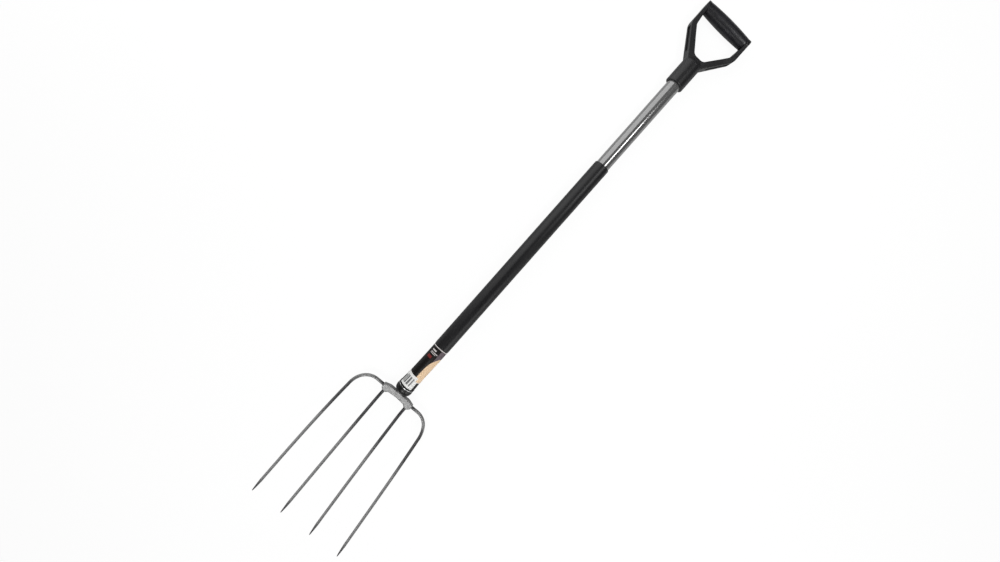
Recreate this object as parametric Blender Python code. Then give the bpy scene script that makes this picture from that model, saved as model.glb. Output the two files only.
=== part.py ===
"""Compost fork: a four-tine steel head on a bent tube shaft with a moulded D handle.

Metres, +Z up. The fork lies on the ground as it would be put down, tines curving up: +X runs along
the shaft to the handle, and the origin is under the middle of its box. Pieces on the shaft are drawn
on a straight axis (x = 0 where the bend starts, negative towards the tines) and carried round the bend.
"""
import math

import bmesh
import bpy
from mathutils import Matrix, Vector

# Fits
SEAT_GAP = 0.0003
PIN_EDGE = 0.0005

# Shaft tube and its bend
TUBE_RADIUS = 0.0138
TUBE_WALL = 0.0015
BEND_ANGLE = math.radians(11.3)
BEND_RADIUS = 0.150
BARE_TUBE_LENGTH = 0.2057
TUBE_IN_SOCKET = 0.044

# Black sleeve on the shaft
SLEEVE_START = 0.0043
SLEEVE_LENGTH = 0.4600
SLEEVE_RADIUS = 0.0157
SLEEVE_EDGE = 0.0009

# Neck: from the end of the bend down to the centre line of the bridge
NECK_REACH = 0.0976
COLLAR_STANDOFF = 0.0136
COLLAR_LENGTH = 0.0130
COLLAR_TOP_RADIUS = 0.0168
COLLAR_RADIUS = 0.0173
COLLAR_FOOT_RADIUS = 0.0131
COLLAR_SHOULDER = 0.0045
COLLAR_FLOOR = 0.0045
BAND_LENGTH = 0.0017
BAND_RADIUS = 0.0165
SEAL_LENGTH = 0.0024
SEAL_RADIUS = 0.0170
SHEATH_RADIUS = 0.0146
SHEATH_FLARE_RADIUS = 0.0165
SHEATH_FLARE_LENGTH = 0.0300

# Printed label wrapped round the sheath, with a tongue at its lower end
LABEL_THICKNESS = 0.0003
LABEL_TOP_MARGIN = 0.0006
LABEL_FOOT_MARGIN = 0.0010
LABEL_TONGUE_LENGTH = 0.0185
LABEL_TONGUE_ARC = math.radians(100)
LABEL_TONGUE_CENTRE = math.radians(-14)

# Tang, its bush in the tube and the pin through them
TANG_RADIUS = 0.0070
TANG_LENGTH = 0.0700
TANG_POINT = 0.0060
NECK_FOOT_RADIUS = 0.0048
NECK_TAPER = 0.0034
BUSH_LENGTH = 0.0520
HEAD_PIN_RADIUS = 0.0025
HEAD_PIN_POSITION = 0.0510

# Bridge of the head: x from its centre line (towards the handle), y from the fork's middle
BRIDGE_THICKNESS = 0.0100
BRIDGE_TOP = 0.0085
BRIDGE_SHOULDER_Y = 0.0240
BRIDGE_END_Y = 0.0356
BRIDGE_END_HALF = 0.0048
BRIDGE_ARCH = 0.0036
BRIDGE_ARCH_DROP = 0.0015
BRIDGE_ARCH_Y = 0.0190
BRIDGE_EDGE = 0.0011
BRIDGE_FILLET = 0.0050
GUSSET_DROP = 0.0092
GUSSET_HALF = 0.0041
OUTER_SEAT_DEPTH = 0.0095
INNER_SEAT_DEPTH = 0.0050

# Tines: lengths along the dished surface, from the bridge's centre line
TINE_LENGTH = 0.2800
TINE_ROOT_RADIUS = 0.0032
TINE_NECK_RADIUS = 0.0025
TINE_TIP_RADIUS = 0.0006
TINE_POINT_LENGTH = 0.0200
INNER_ROOT_Y = 0.0270
INNER_TIP_Y = 0.0310
SHOULDER_Y = 0.0868
SHOULDER_WIDTH = 0.0360
SHOULDER_LENGTH = 0.0430
OUTER_TIP_Y = 0.0918
TINE_TAPER = 1.3
POINT_TAPER = 0.7
SPREAD_EASE = 3
DISH_FLAT = 0.0076
DISH_HEEL_LENGTH = 0.0300
DISH_HEEL_ANGLE = math.radians(38.3)
DISH_TIP_ANGLE = math.radians(49.3)

# D handle: x from the rim of its socket
SOCKET_RADIUS = 0.0184
SOCKET_EDGE = 0.0012
SOCKET_BORE_DEPTH = 0.0460
SOCKET_LENGTH = 0.0500
CROTCH_X = 0.0633
CROTCH_HALF = 0.0108
CROTCH_FILLET = 0.0110
HUB_START = 0.0440
HUB_HALF = 0.0110
ARM_START = 0.0535
ARM_START_FILLET = 0.0040
ARM_CORNER_X = 0.1050
ARM_CORNER_FILLET = 0.0220
ARM_INNER_CORNER = (0.1084, 0.0450)
ARM_INNER_FILLET = 0.0100
ARM_DEPTH_HUB = 0.0122
ARM_DEPTH_MIDDLE = 0.0105
ARM_MIDDLE_X = 0.0950
ARM_EDGE = 0.0018
GRIP_X = 0.1488
GRIP_WIDTH = 0.1108
LUG_THICKNESS = 0.0065
LUG_RADIUS = 0.0128
LUG_ARC_START = math.radians(-18)
BARREL_END_RADIUS = 0.0127
BARREL_MIDDLE_RADIUS = 0.0145
GRIP_PIN_RADIUS = 0.0040
GRIP_PIN_RECESS = 0.0008
CHANNEL_START = 0.0640
CHANNEL_END = 0.1010
CHANNEL_DEPTH = 0.0042
CHANNEL_HALF_WIDTH = 0.0058
CHANNEL_FILLET = 0.0015

# Screw that holds the handle on the tube, in the back of the socket
SCREW_X = 0.0240
SCREW_HEAD_RADIUS = 0.0040
SCREW_HEAD_HEIGHT = 0.0021
SCREW_RADIUS = 0.0020
SCREW_RECESS = 0.0026
SCREW_REACH = 0.0050

# Facets and edges
ROUND = 36
SMALL_ROUND = 20
ARC_STEPS = 3
BEND_STATIONS = 6
COLLAR_STEPS = 6
SHOULDER_STEPS = 12
DOME_STEPS = 8
CROWN_STEPS = 8
TINE_ARC_STEPS = 3
TINE_STEP = 0.0050
TINE_SWEEP_STEP = 0.0120
SHARP_ANGLE = math.radians(35)
EDGE_ANGLE = math.radians(50)
EDGE_SEGMENTS = 2

# Colour (sRGB), roughness and metallic value of each finish
FINISHES = {
    "handle_polypropylene": ("2A2A2C", 0.48, 0.0),
    "grip_polypropylene": ("303033", 0.45, 0.0),
    "zinc_plated_steel": ("B4B6B8", 0.32, 1.0),
    "grey_painted_tube": ("8F9092", 0.30, 0.6),
    "sleeve_black_plastic": ("242426", 0.42, 0.0),
    "sheath_black_plastic": ("19191A", 0.50, 0.0),
    "label_film": ("CDB68F", 0.55, 0.0),
    "seal_black_rubber": ("151515", 0.70, 0.0),
    "bright_steel_band": ("D5D6D7", 0.22, 1.0),
    "collar_black_rubber": ("1C1C1D", 0.62, 0.0),
    "bush_nylon": ("D9D4C6", 0.60, 0.0),
    "bridge_forged_steel": ("9C9D9E", 0.40, 0.9),
    "tine_steel": ("8C8D8E", 0.38, 0.9),
}

BEND_ARC = BEND_RADIUS * BEND_ANGLE
BRIDGE_X = -(BEND_ARC + NECK_REACH)
COLLAR_FOOT_X = BRIDGE_X + COLLAR_STANDOFF
COLLAR_TOP_X = COLLAR_FOOT_X + COLLAR_LENGTH
BAND_X = COLLAR_TOP_X + SEAT_GAP
SEAL_X = BAND_X + BAND_LENGTH + SEAT_GAP
SHEATH_X = SEAL_X + SEAL_LENGTH + SEAT_GAP
TUBE_FOOT_X = COLLAR_FOOT_X + COLLAR_FLOOR + SEAT_GAP
SOCKET_X = SLEEVE_START + SLEEVE_LENGTH + BARE_TUBE_LENGTH
GRIP_HALF = GRIP_WIDTH / 2
BORE_RADIUS = TUBE_RADIUS + SEAT_GAP


def clear_scene():
    """Remove what a new file starts with."""
    for item in list(bpy.data.objects):
        bpy.data.objects.remove(item, do_unlink=True)


def finish(name):
    """The Principled material of one finish."""
    material = bpy.data.materials.get(name)
    if material:
        return material
    code, roughness, metallic = FINISHES[name]
    channels = [int(code[i:i + 2], 16) / 255 for i in (0, 2, 4)]
    linear = [c / 12.92 if c <= 0.04045 else ((c + 0.055) / 1.055) ** 2.4 for c in channels]
    material = bpy.data.materials.new(name)
    material.use_nodes = True
    shader = material.node_tree.nodes["Principled BSDF"]
    shader.inputs["Base Color"].default_value = (*linear, 1.0)
    shader.inputs["Roughness"].default_value = roughness
    shader.inputs["Metallic"].default_value = metallic
    material.diffuse_color = (*linear, 1.0)
    return material


def empty(name, parent=None, location=(0, 0, 0), tilt=0.0):
    """A frame of reference, turned about Y."""
    frame = bpy.data.objects.new(name, None)
    bpy.context.collection.objects.link(frame)
    frame.parent = parent
    frame.location = location
    frame.rotation_euler = (0, tilt, 0)
    return frame


def piece(name, bm, material, parent):
    """An object from a finished bmesh, shaded smooth except at its real edges."""
    bmesh.ops.recalc_face_normals(bm, faces=bm.faces)
    mesh = bpy.data.meshes.new(name)
    bm.to_mesh(mesh)
    bm.free()
    mesh.shade_smooth()
    mesh.set_sharp_from_angle(angle=SHARP_ANGLE)
    if material:
        mesh.materials.append(finish(material))
    item = bpy.data.objects.new(name, mesh)
    bpy.context.collection.objects.link(item)
    item.parent = parent
    return item


def even_shading(item):
    """Keep flat faces looking flat where rounded edges meet them."""
    modifier = item.modifiers.new("even shading", "WEIGHTED_NORMAL")
    modifier.keep_sharp = True


def modelling_aid(item):
    """Hide a cutter or a blank that is only an operand of a Boolean."""
    item.hide_render = True
    item.display_type = "WIRE"
    return item


def combine(target, operation, aid):
    """Union, difference or intersection of a piece with a modelling aid."""
    modifier = target.modifiers.new(f"{operation.lower()} {aid.name}", "BOOLEAN")
    modifier.operation = operation
    modifier.solver = "EXACT"
    modifier.object = modelling_aid(aid)


def filleted(corners, steps=ARC_STEPS):
    """Points of a closed outline whose corners (a, b, radius) are rounded by arcs."""
    points = []
    count = len(corners)
    for index, (a, b, radius) in enumerate(corners):
        corner = Vector((a, b))
        if radius == 0:
            points.append(corner)
            continue
        before = (Vector(corners[index - 1][:2]) - corner).normalized()
        after = (Vector(corners[(index + 1) % count][:2]) - corner).normalized()
        half = before.angle(after) / 2
        centre = corner + (before + after).normalized() * (radius / math.sin(half))
        start = corner + before * (radius / math.tan(half)) - centre
        end = corner + after * (radius / math.tan(half)) - centre
        way = 1 if start.x * end.y - start.y * end.x > 0 else -1
        for step in range(steps + 1):
            turn = Matrix.Rotation(way * (math.pi - 2 * half) * step / steps, 2)
            points.append(centre + turn @ start)
    return points


def prism(name, outline, low, high, along, parent, material=None):
    """A closed outline extruded along Z (outline in x, y) or along Y (outline in x, z)."""
    seat = {"Z": lambda a, b, c: Vector((a, b, c)), "Y": lambda a, b, c: Vector((a, c, b))}[along]
    bm = bmesh.new()
    face = bm.faces.new([bm.verts.new(seat(a, b, low)) for a, b in outline])
    grown = bmesh.ops.extrude_face_region(bm, geom=[face])["geom"]
    risen = [v for v in grown if isinstance(v, bmesh.types.BMVert)]
    bmesh.ops.translate(bm, verts=risen, vec=seat(0, 0, high - low))
    return piece(name, bm, material, parent)


def mirrored(side):
    """A half outline (y > 0) joined with its mirror image."""
    return side + [(a, -b, radius) for a, b, radius in reversed(side)]


def rod(name, radius, start, end, material, parent, edge=0.0, facets=SMALL_ROUND):
    """A straight round bar between two points, with chamfered ends."""
    start, end = Vector(start), Vector(end)
    length = (end - start).length
    bm = bmesh.new()
    bmesh.ops.create_cone(bm, cap_ends=True, segments=facets, radius1=radius, radius2=radius, depth=length)
    if edge:
        rims = [e for e in bm.edges if abs(e.verts[0].co.z - e.verts[1].co.z) < length / 2]
        bmesh.ops.bevel(bm, geom=rims, offset=edge, segments=1, affect="EDGES")
    turn = Vector((0, 0, 1)).rotation_difference(end - start).to_matrix().to_4x4()
    bmesh.ops.transform(bm, matrix=Matrix.Translation((start + end) / 2) @ turn, verts=bm.verts)
    return piece(name, bm, material, parent)


def carried_round_bend(point):
    """Where a point of the straight drawing lies on the bent shaft."""
    x, y, z = point
    turn = min(max(-x, 0.0) / BEND_RADIUS, BEND_ANGLE)
    beyond = x if x > 0 else -max(0.0, -x - BEND_ARC)
    axis = Vector((-math.sin(turn), 0, math.cos(turn) - 1)) * BEND_RADIUS
    handle_way = Vector((math.cos(turn), 0, math.sin(turn)))
    upward = Vector((-math.sin(turn), 0, math.cos(turn)))
    return axis + handle_way * beyond + upward * z + Vector((0, y, 0))


def with_bend_stations(outline):
    """Add points where an outline's long runs pass the bend, so that they can follow it."""
    stations = [-BEND_ARC * k / BEND_STATIONS for k in range(BEND_STATIONS + 1)]
    points = []
    for index, here in enumerate(outline):
        following = outline[(index + 1) % len(outline)]
        points.append(here)
        run = following.x - here.x
        if abs(run) < 1e-9:
            continue
        passed = [s for s in stations if 1e-5 < (s - here.x) / run < 1 - 1e-5]
        for station in sorted(passed, reverse=run < 0):
            share = (station - here.x) / run
            points.append(here.lerp(following, share))
    return points


def turned(name, corners, material, parent, facets=ROUND, steps=ARC_STEPS):
    """A piece turned about the shaft axis from a closed outline of (x, radius, fillet) corners."""
    bm = bmesh.new()
    outline = with_bend_stations(filleted(corners, steps))
    loop = [bm.verts.new((p.x, 0, p.y)) for p in outline]
    for index, vertex in enumerate(loop):
        following = loop[(index + 1) % len(loop)]
        on_axis = abs(vertex.co.z) < 1e-7 and abs(following.co.z) < 1e-7
        if not on_axis:
            bm.edges.new((vertex, following))
    bmesh.ops.spin(bm, geom=bm.verts[:] + bm.edges[:], cent=(0, 0, 0), axis=(1, 0, 0),
                   angle=2 * math.pi, steps=facets, use_duplicate=False)
    bmesh.ops.remove_doubles(bm, verts=bm.verts, dist=1e-6)
    for vertex in bm.verts:
        vertex.co = carried_round_bend(vertex.co)
    return piece(name, bm, material, parent)


def shaft_tube(root):
    """The bent steel tube, from inside the collar to inside the handle's socket."""
    bore = TUBE_RADIUS - TUBE_WALL
    end = SOCKET_X + TUBE_IN_SOCKET
    return turned("shaft_tube", [(TUBE_FOOT_X, bore, 0), (TUBE_FOOT_X, TUBE_RADIUS, 0),
                                 (end, TUBE_RADIUS, 0), (end, bore, 0)], "grey_painted_tube", root)


def grip_sleeve(root):
    """The long black sleeve that the lower hand slides on."""
    end = SLEEVE_START + SLEEVE_LENGTH
    corners = [(SLEEVE_START, BORE_RADIUS, 0), (SLEEVE_START, SLEEVE_RADIUS, SLEEVE_EDGE),
               (end, SLEEVE_RADIUS, SLEEVE_EDGE), (end, BORE_RADIUS, 0)]
    return turned("grip_sleeve", corners, "sleeve_black_plastic", root)


def lower_sheath(root):
    """The thin black sheath round the bend, which flares to the rings above the collar."""
    end = SLEEVE_START - SEAT_GAP
    flare = SHEATH_X + SHEATH_FLARE_LENGTH
    return turned("lower_sheath", [(SHEATH_X, BORE_RADIUS, 0), (SHEATH_X, SHEATH_FLARE_RADIUS, 0),
                                   (flare, SHEATH_RADIUS, 0), (end, SHEATH_RADIUS, 0),
                                   (end, BORE_RADIUS, 0)], "sheath_black_plastic", root)


def sheath_outside(x):
    """Radius of the sheath at a place on the shaft."""
    share = min(max((x - SHEATH_X) / SHEATH_FLARE_LENGTH, 0.0), 1.0)
    return SHEATH_FLARE_RADIUS + (SHEATH_RADIUS - SHEATH_FLARE_RADIUS) * share


def label_wrap(root, head):
    """The label: a full wrap above, and a tongue over the flare at the front."""
    foot = SHEATH_X + LABEL_FOOT_MARGIN
    flare = SHEATH_X + SHEATH_FLARE_LENGTH
    top = SLEEVE_START - SEAT_GAP - LABEL_TOP_MARGIN
    inner = [(foot, sheath_outside(foot)), (flare, SHEATH_RADIUS), (top, SHEATH_RADIUS)]
    corners = [(x, r + SEAT_GAP, 0) for x, r in inner]
    corners += [(x, r + SEAT_GAP + LABEL_THICKNESS, 0) for x, r in reversed(inner)]
    wrap = turned("label_wrap", corners, "label_film", root)
    combine(wrap, "DIFFERENCE", beside_tongue(head, foot))
    return wrap


def beside_tongue(head, foot):
    """The sector of the wrap that is cut away on both sides of the tongue."""
    reach = COLLAR_RADIUS * 2
    open_arc = 2 * math.pi - LABEL_TONGUE_ARC
    middle = LABEL_TONGUE_CENTRE + math.pi
    rim = [middle - open_arc / 2 + open_arc * k / SMALL_ROUND for k in range(SMALL_ROUND + 1)]
    bm = bmesh.new()
    low = foot - BRIDGE_X - SEAL_LENGTH
    fan = [(0.0, 0.0)] + [(-math.sin(a) * reach, math.cos(a) * reach) for a in rim]
    face = bm.faces.new([bm.verts.new((low, y, z)) for y, z in fan])
    grown = bmesh.ops.extrude_face_region(bm, geom=[face])["geom"]
    risen = [v for v in grown if isinstance(v, bmesh.types.BMVert)]
    bmesh.ops.translate(bm, verts=risen, vec=(LABEL_TONGUE_LENGTH + SEAL_LENGTH, 0, 0))
    return piece("cut beside tongue", bm, None, head)


def neck_rings(root):
    """The black seal ring and the bright band between the sheath and the collar."""
    for name, start, length, radius, material in (
            ("seal_ring", SEAL_X, SEAL_LENGTH, SEAL_RADIUS, "seal_black_rubber"),
            ("steel_band", BAND_X, BAND_LENGTH, BAND_RADIUS, "bright_steel_band")):
        turned(name, [(start, BORE_RADIUS, 0), (start, radius, 0), (start + length, radius, 0),
                      (start + length, BORE_RADIUS, 0)], material, root)


def collar(root):
    """The rounded rubber boot that closes the tube's lower end round the tang."""
    hole = TANG_RADIUS + SEAT_GAP
    floor = COLLAR_FOOT_X + COLLAR_FLOOR
    widest = COLLAR_TOP_X - COLLAR_SHOULDER
    fall = widest - COLLAR_FOOT_X
    corners = [(floor, BORE_RADIUS, 0), (floor, hole, 0), (COLLAR_FOOT_X, hole, 0)]
    for step in range(COLLAR_STEPS + 1):
        angle = math.pi / 2 * step / COLLAR_STEPS
        corners.append((widest - fall * math.cos(angle),
                        COLLAR_FOOT_RADIUS + (COLLAR_RADIUS - COLLAR_FOOT_RADIUS) * math.sin(angle), 0))
    corners += [(COLLAR_TOP_X, COLLAR_TOP_RADIUS, 0), (COLLAR_TOP_X, BORE_RADIUS, 0)]
    return turned("collar", corners, "collar_black_rubber", root)


def tang_bush(root):
    """The nylon plug that centres the tang in the tube."""
    radius = TUBE_RADIUS - TUBE_WALL - SEAT_GAP
    foot = COLLAR_FOOT_X + COLLAR_FLOOR + SEAT_GAP
    end = foot + BUSH_LENGTH
    hole = TANG_RADIUS + SEAT_GAP
    return turned("tang_bush", [(foot, hole, 0), (foot, radius, 0), (end, radius, 0), (end, hole, 0)],
                  "bush_nylon", root, facets=SMALL_ROUND)


def bridge(head):
    """The forged bridge with its tang; gussets run down to the inner tines."""
    gusset_in = INNER_ROOT_Y - GUSSET_HALF
    gusset_out = INNER_ROOT_Y + GUSSET_HALF
    side = [(BRIDGE_TOP, BRIDGE_SHOULDER_Y, BRIDGE_FILLET), (BRIDGE_END_HALF, BRIDGE_END_Y, BRIDGE_EDGE),
            (-BRIDGE_END_HALF, BRIDGE_END_Y, BRIDGE_EDGE), (-GUSSET_DROP, gusset_out, BRIDGE_EDGE),
            (-GUSSET_DROP, gusset_in, BRIDGE_EDGE),
            (-BRIDGE_ARCH - BRIDGE_ARCH_DROP, BRIDGE_ARCH_Y, BRIDGE_FILLET), (-BRIDGE_ARCH, 0, 0)]
    outline = filleted(side + [(a, -b, r) for a, b, r in reversed(side[:-1])])
    half = BRIDGE_THICKNESS / 2
    body = prism("bridge_tang", outline, -half, half, "Z", head, "bridge_forged_steel")
    bevel = body.modifiers.new("forged edge", "BEVEL")
    bevel.width = BRIDGE_EDGE
    bevel.segments = EDGE_SEGMENTS
    bevel.limit_method = "ANGLE"
    bevel.angle_limit = EDGE_ANGLE
    combine(body, "UNION", tang_blank(head))
    return body


def tang_blank(head):
    """The tang: a round bar that narrows into the bridge and ends in a blunt point."""
    bm = bmesh.new()
    end = COLLAR_STANDOFF + TANG_LENGTH
    outline = [(0.0, 0.0), (0.0, NECK_FOOT_RADIUS), (BRIDGE_TOP - BRIDGE_EDGE, NECK_FOOT_RADIUS),
               (BRIDGE_TOP - BRIDGE_EDGE + NECK_TAPER, TANG_RADIUS), (end - TANG_POINT, TANG_RADIUS),
               (end, TANG_RADIUS / 2), (end, 0.0)]
    spine = [bm.verts.new((x, 0, r)) for x, r in outline]
    for first, second in zip(spine, spine[1:]):
        bm.edges.new((first, second))
    bmesh.ops.spin(bm, geom=bm.verts[:] + bm.edges[:], cent=(0, 0, 0), axis=(1, 0, 0),
                   angle=2 * math.pi, steps=SMALL_ROUND, use_duplicate=False)
    bmesh.ops.remove_doubles(bm, verts=bm.verts, dist=1e-6)
    return piece("tang blank", bm, None, head)


def head_pin(head, holders):
    """The pin through the tube, the bush and the tang, hidden by the sheath."""
    x = HEAD_PIN_POSITION
    half = TUBE_RADIUS - SEAT_GAP
    rod("head_pin", HEAD_PIN_RADIUS, (x, -half, 0), (x, half, 0), "zinc_plated_steel", head, edge=PIN_EDGE)
    hole = rod("hole for head pin", HEAD_PIN_RADIUS + SEAT_GAP, (x, -COLLAR_RADIUS, 0),
               (x, COLLAR_RADIUS, 0), None, head)
    for holder in holders:
        combine(holder, "DIFFERENCE", hole)


def on_dish(along, across):
    """A point of the dished tine surface: flat at the bridge, a tight heel, then a long gentle sweep."""
    heel_radius = DISH_HEEL_LENGTH / DISH_HEEL_ANGLE
    sweep_radius = (TINE_LENGTH - DISH_FLAT - DISH_HEEL_LENGTH) / (DISH_TIP_ANGLE - DISH_HEEL_ANGLE)
    flat = min(along, DISH_FLAT)
    turn = min(max(along - DISH_FLAT, 0.0), DISH_HEEL_LENGTH) / heel_radius
    x = flat + heel_radius * math.sin(turn)
    z = heel_radius * (1 - math.cos(turn))
    rest = max(along - DISH_FLAT - DISH_HEEL_LENGTH, 0.0)
    angle = DISH_HEEL_ANGLE + rest / sweep_radius
    x += sweep_radius * (math.sin(angle) - math.sin(DISH_HEEL_ANGLE))
    z += sweep_radius * (math.cos(DISH_HEEL_ANGLE) - math.cos(angle))
    return Vector((-x, across, z))


def tine_radius(along):
    """Radius of a tine: an even taper to a neck, then a drawn point."""
    point_start = TINE_LENGTH - TINE_POINT_LENGTH
    if along <= point_start:
        share = max(along, 0.0) / point_start
        return TINE_ROOT_RADIUS + (TINE_NECK_RADIUS - TINE_ROOT_RADIUS) * share ** TINE_TAPER
    share = min((along - point_start) / TINE_POINT_LENGTH, 1.0)
    return TINE_TIP_RADIUS + (TINE_NECK_RADIUS - TINE_TIP_RADIUS) * (1 - share) ** POINT_TAPER


def steps_between(start, end, step):
    """Evenly spaced values from start to end, no further apart than step."""
    count = max(1, math.ceil(abs(end - start) / step))
    return [start + (end - start) * k / count for k in range(count + 1)]


def sweep_stations():
    """Stations of the long sweep past the shoulder, closer together along the drawn point."""
    point_start = TINE_LENGTH - TINE_POINT_LENGTH
    sweep = steps_between(SHOULDER_LENGTH, point_start, TINE_SWEEP_STEP)[1:]
    return sweep + steps_between(point_start, TINE_LENGTH, TINE_STEP)[1:]


def tine(name, plan, head):
    """A round tine swept along a plan route of (along, across) points on the dished surface."""
    curve = bpy.data.curves.new(name, "CURVE")
    curve.dimensions = "3D"
    curve.bevel_depth = TINE_ROOT_RADIUS
    curve.bevel_resolution = TINE_ARC_STEPS
    curve.use_fill_caps = True
    curve.resolution_u = 1
    curve.render_resolution_u = 0
    spline = curve.splines.new("POLY")
    spline.points.add(len(plan) - 1)
    for point, (along, across) in zip(spline.points, plan):
        point.co = (*on_dish(along, across), 1.0)
        point.radius = tine_radius(along) / TINE_ROOT_RADIUS
    curve.materials.append(finish("tine_steel"))
    item = bpy.data.objects.new(name, curve)
    bpy.context.collection.objects.link(item)
    item.parent = head
    return item


def inner_plan(side):
    """Route of an inner tine, from its seat in the gusset to its tip."""
    start = GUSSET_DROP - INNER_SEAT_DEPTH + SEAT_GAP
    stations = steps_between(start, SHOULDER_LENGTH, TINE_STEP) + sweep_stations()
    spread = (INNER_TIP_Y - INNER_ROOT_Y) / TINE_LENGTH
    return [(along, side * (INNER_ROOT_Y + spread * along)) for along in stations]


def outer_plan(side):
    """Route of an outer tine: out of the bridge's end, round the shoulder, then forward to its tip."""
    start = BRIDGE_END_Y - OUTER_SEAT_DEPTH + SEAT_GAP
    turn_start = SHOULDER_Y - SHOULDER_WIDTH
    route = [(0.0, side * y) for y in steps_between(start, turn_start, TINE_STEP)]
    for step in range(1, SHOULDER_STEPS + 1):
        angle = math.pi / 2 * step / SHOULDER_STEPS
        route.append((SHOULDER_LENGTH * (1 - math.cos(angle)),
                      side * (turn_start + SHOULDER_WIDTH * math.sin(angle))))
    for along in sweep_stations():
        share = (along - SHOULDER_LENGTH) / (TINE_LENGTH - SHOULDER_LENGTH)
        spread = (OUTER_TIP_Y - SHOULDER_Y) * (1 - (1 - share) ** SPREAD_EASE)
        route.append((along, side * (SHOULDER_Y + spread)))
    return route


def tines(head, body):
    """The four tines, each with its own seat bored in the bridge."""
    seat_radius = TINE_ROOT_RADIUS + SEAT_GAP
    for side, hand in ((1, "left"), (-1, "right")):
        tine(f"inner_tine_{hand}", inner_plan(side), head)
        tine(f"outer_tine_{hand}", outer_plan(side), head)
        y = side * INNER_ROOT_Y
        combine(body, "DIFFERENCE", rod(f"inner seat {hand}", seat_radius, (-GUSSET_DROP * 2, y, 0),
                                        (-GUSSET_DROP + INNER_SEAT_DEPTH, y, 0), None, head))
        end = side * BRIDGE_END_Y
        combine(body, "DIFFERENCE", rod(f"outer seat {hand}", seat_radius, (0, end * 2, 0),
                                        (0, end - side * OUTER_SEAT_DEPTH, 0), None, head))


def yoke_front():
    """Front outline of the Y-shaped arms, from the hub in the socket to the lugs."""
    end = GRIP_X + LUG_RADIUS
    inside = GRIP_HALF - LUG_THICKNESS
    return filleted(mirrored([
        (HUB_START, HUB_HALF, 0), (ARM_START, SOCKET_RADIUS, ARM_START_FILLET),
        (ARM_CORNER_X, GRIP_HALF, ARM_CORNER_FILLET), (end, GRIP_HALF, 0), (end, inside, 0),
        (GRIP_X - LUG_RADIUS, inside, 0), (*ARM_INNER_CORNER, ARM_INNER_FILLET),
        (CROTCH_X, CROTCH_HALF, CROTCH_FILLET)]), ARC_STEPS * 2)


def yoke_side():
    """Side outline of the arms: slim in the middle, round at the lugs."""
    below = [(HUB_START, ARM_DEPTH_HUB), (CROTCH_X, ARM_DEPTH_HUB), (ARM_MIDDLE_X, ARM_DEPTH_MIDDLE),
             (GRIP_X - LUG_RADIUS, (ARM_DEPTH_MIDDLE + LUG_RADIUS) / 2)]
    lug = [(GRIP_X + LUG_RADIUS * math.sin(a), LUG_RADIUS * math.cos(a))
           for a in steps_between(LUG_ARC_START, math.pi / 2, 2 * math.pi / ROUND)]
    half = below + lug
    return [Vector(p) for p in half] + [Vector((x, -z)) for x, z in reversed(half) if abs(z) > 1e-9]


def socket_blank(handle):
    """The solid socket with its domed top, before it is bored."""
    bm = bmesh.new()
    dome = CROTCH_X - SOCKET_LENGTH
    lip = SOCKET_EDGE * (1 - math.sqrt(0.5))
    outline = [(0.0, 0.0), (0.0, SOCKET_RADIUS - SOCKET_EDGE), (lip, SOCKET_RADIUS - lip),
               (SOCKET_EDGE, SOCKET_RADIUS)]
    for step in range(DOME_STEPS + 1):
        angle = math.pi / 2 * step / DOME_STEPS
        outline.append((SOCKET_LENGTH + dome * math.sin(angle), SOCKET_RADIUS * math.cos(angle)))
    spine = [bm.verts.new((x, 0, r)) for x, r in outline]
    for first, second in zip(spine, spine[1:]):
        bm.edges.new((first, second))
    bmesh.ops.spin(bm, geom=bm.verts[:] + bm.edges[:], cent=(0, 0, 0), axis=(1, 0, 0),
                   angle=2 * math.pi, steps=ROUND, use_duplicate=False)
    bmesh.ops.remove_doubles(bm, verts=bm.verts, dist=1e-6)
    return piece("socket blank", bm, None, handle)


def channel_cutter(handle, side):
    """The recess along the outer flank of one arm, between its front and back flanges."""
    slope = (GRIP_HALF - SOCKET_RADIUS) / (ARM_CORNER_X - ARM_START)
    away = Vector((-slope, 1)).normalized()

    def flank(x, depth):
        """A point at a depth inside the arm's outer line."""
        on_line = Vector((x, SOCKET_RADIUS + slope * (x - ARM_START)))
        return on_line - away * depth

    corners = [(*flank(CHANNEL_START, CHANNEL_DEPTH), CHANNEL_FILLET),
               (*flank(CHANNEL_END, CHANNEL_DEPTH), CHANNEL_FILLET),
               (*flank(CHANNEL_END, -CHANNEL_DEPTH * 2), 0), (*flank(CHANNEL_START, -CHANNEL_DEPTH * 2), 0)]
    outline = filleted([(a, side * b, radius) for a, b, radius in corners])
    return prism(f"arm channel {side}", outline, -CHANNEL_HALF_WIDTH, CHANNEL_HALF_WIDTH, "Z", handle)


def d_handle_yoke(handle):
    """The moulded yoke: socket, two channelled arms and the lugs that hold the grip."""
    yoke = prism("d_handle_yoke", yoke_front(), -SOCKET_RADIUS, SOCKET_RADIUS, "Z", handle,
                 "handle_polypropylene")
    combine(yoke, "INTERSECT", prism("arm side", yoke_side(), -GRIP_WIDTH, GRIP_WIDTH, "Y", handle))
    bevel = yoke.modifiers.new("moulded edge", "BEVEL")
    bevel.width = ARM_EDGE
    bevel.segments = EDGE_SEGMENTS
    bevel.limit_method = "ANGLE"
    bevel.angle_limit = EDGE_ANGLE
    combine(yoke, "UNION", socket_blank(handle))
    for side in (1, -1):
        combine(yoke, "DIFFERENCE", channel_cutter(handle, side))
    combine(yoke, "DIFFERENCE", rod("socket bore", BORE_RADIUS, (-SOCKET_RADIUS, 0, 0),
                                    (SOCKET_BORE_DEPTH, 0, 0), None, handle, facets=ROUND))
    combine(yoke, "DIFFERENCE", rod("grip pin bore", GRIP_PIN_RADIUS + SEAT_GAP, (GRIP_X, -GRIP_WIDTH, 0),
                                    (GRIP_X, GRIP_WIDTH, 0), None, handle))
    return yoke


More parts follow.
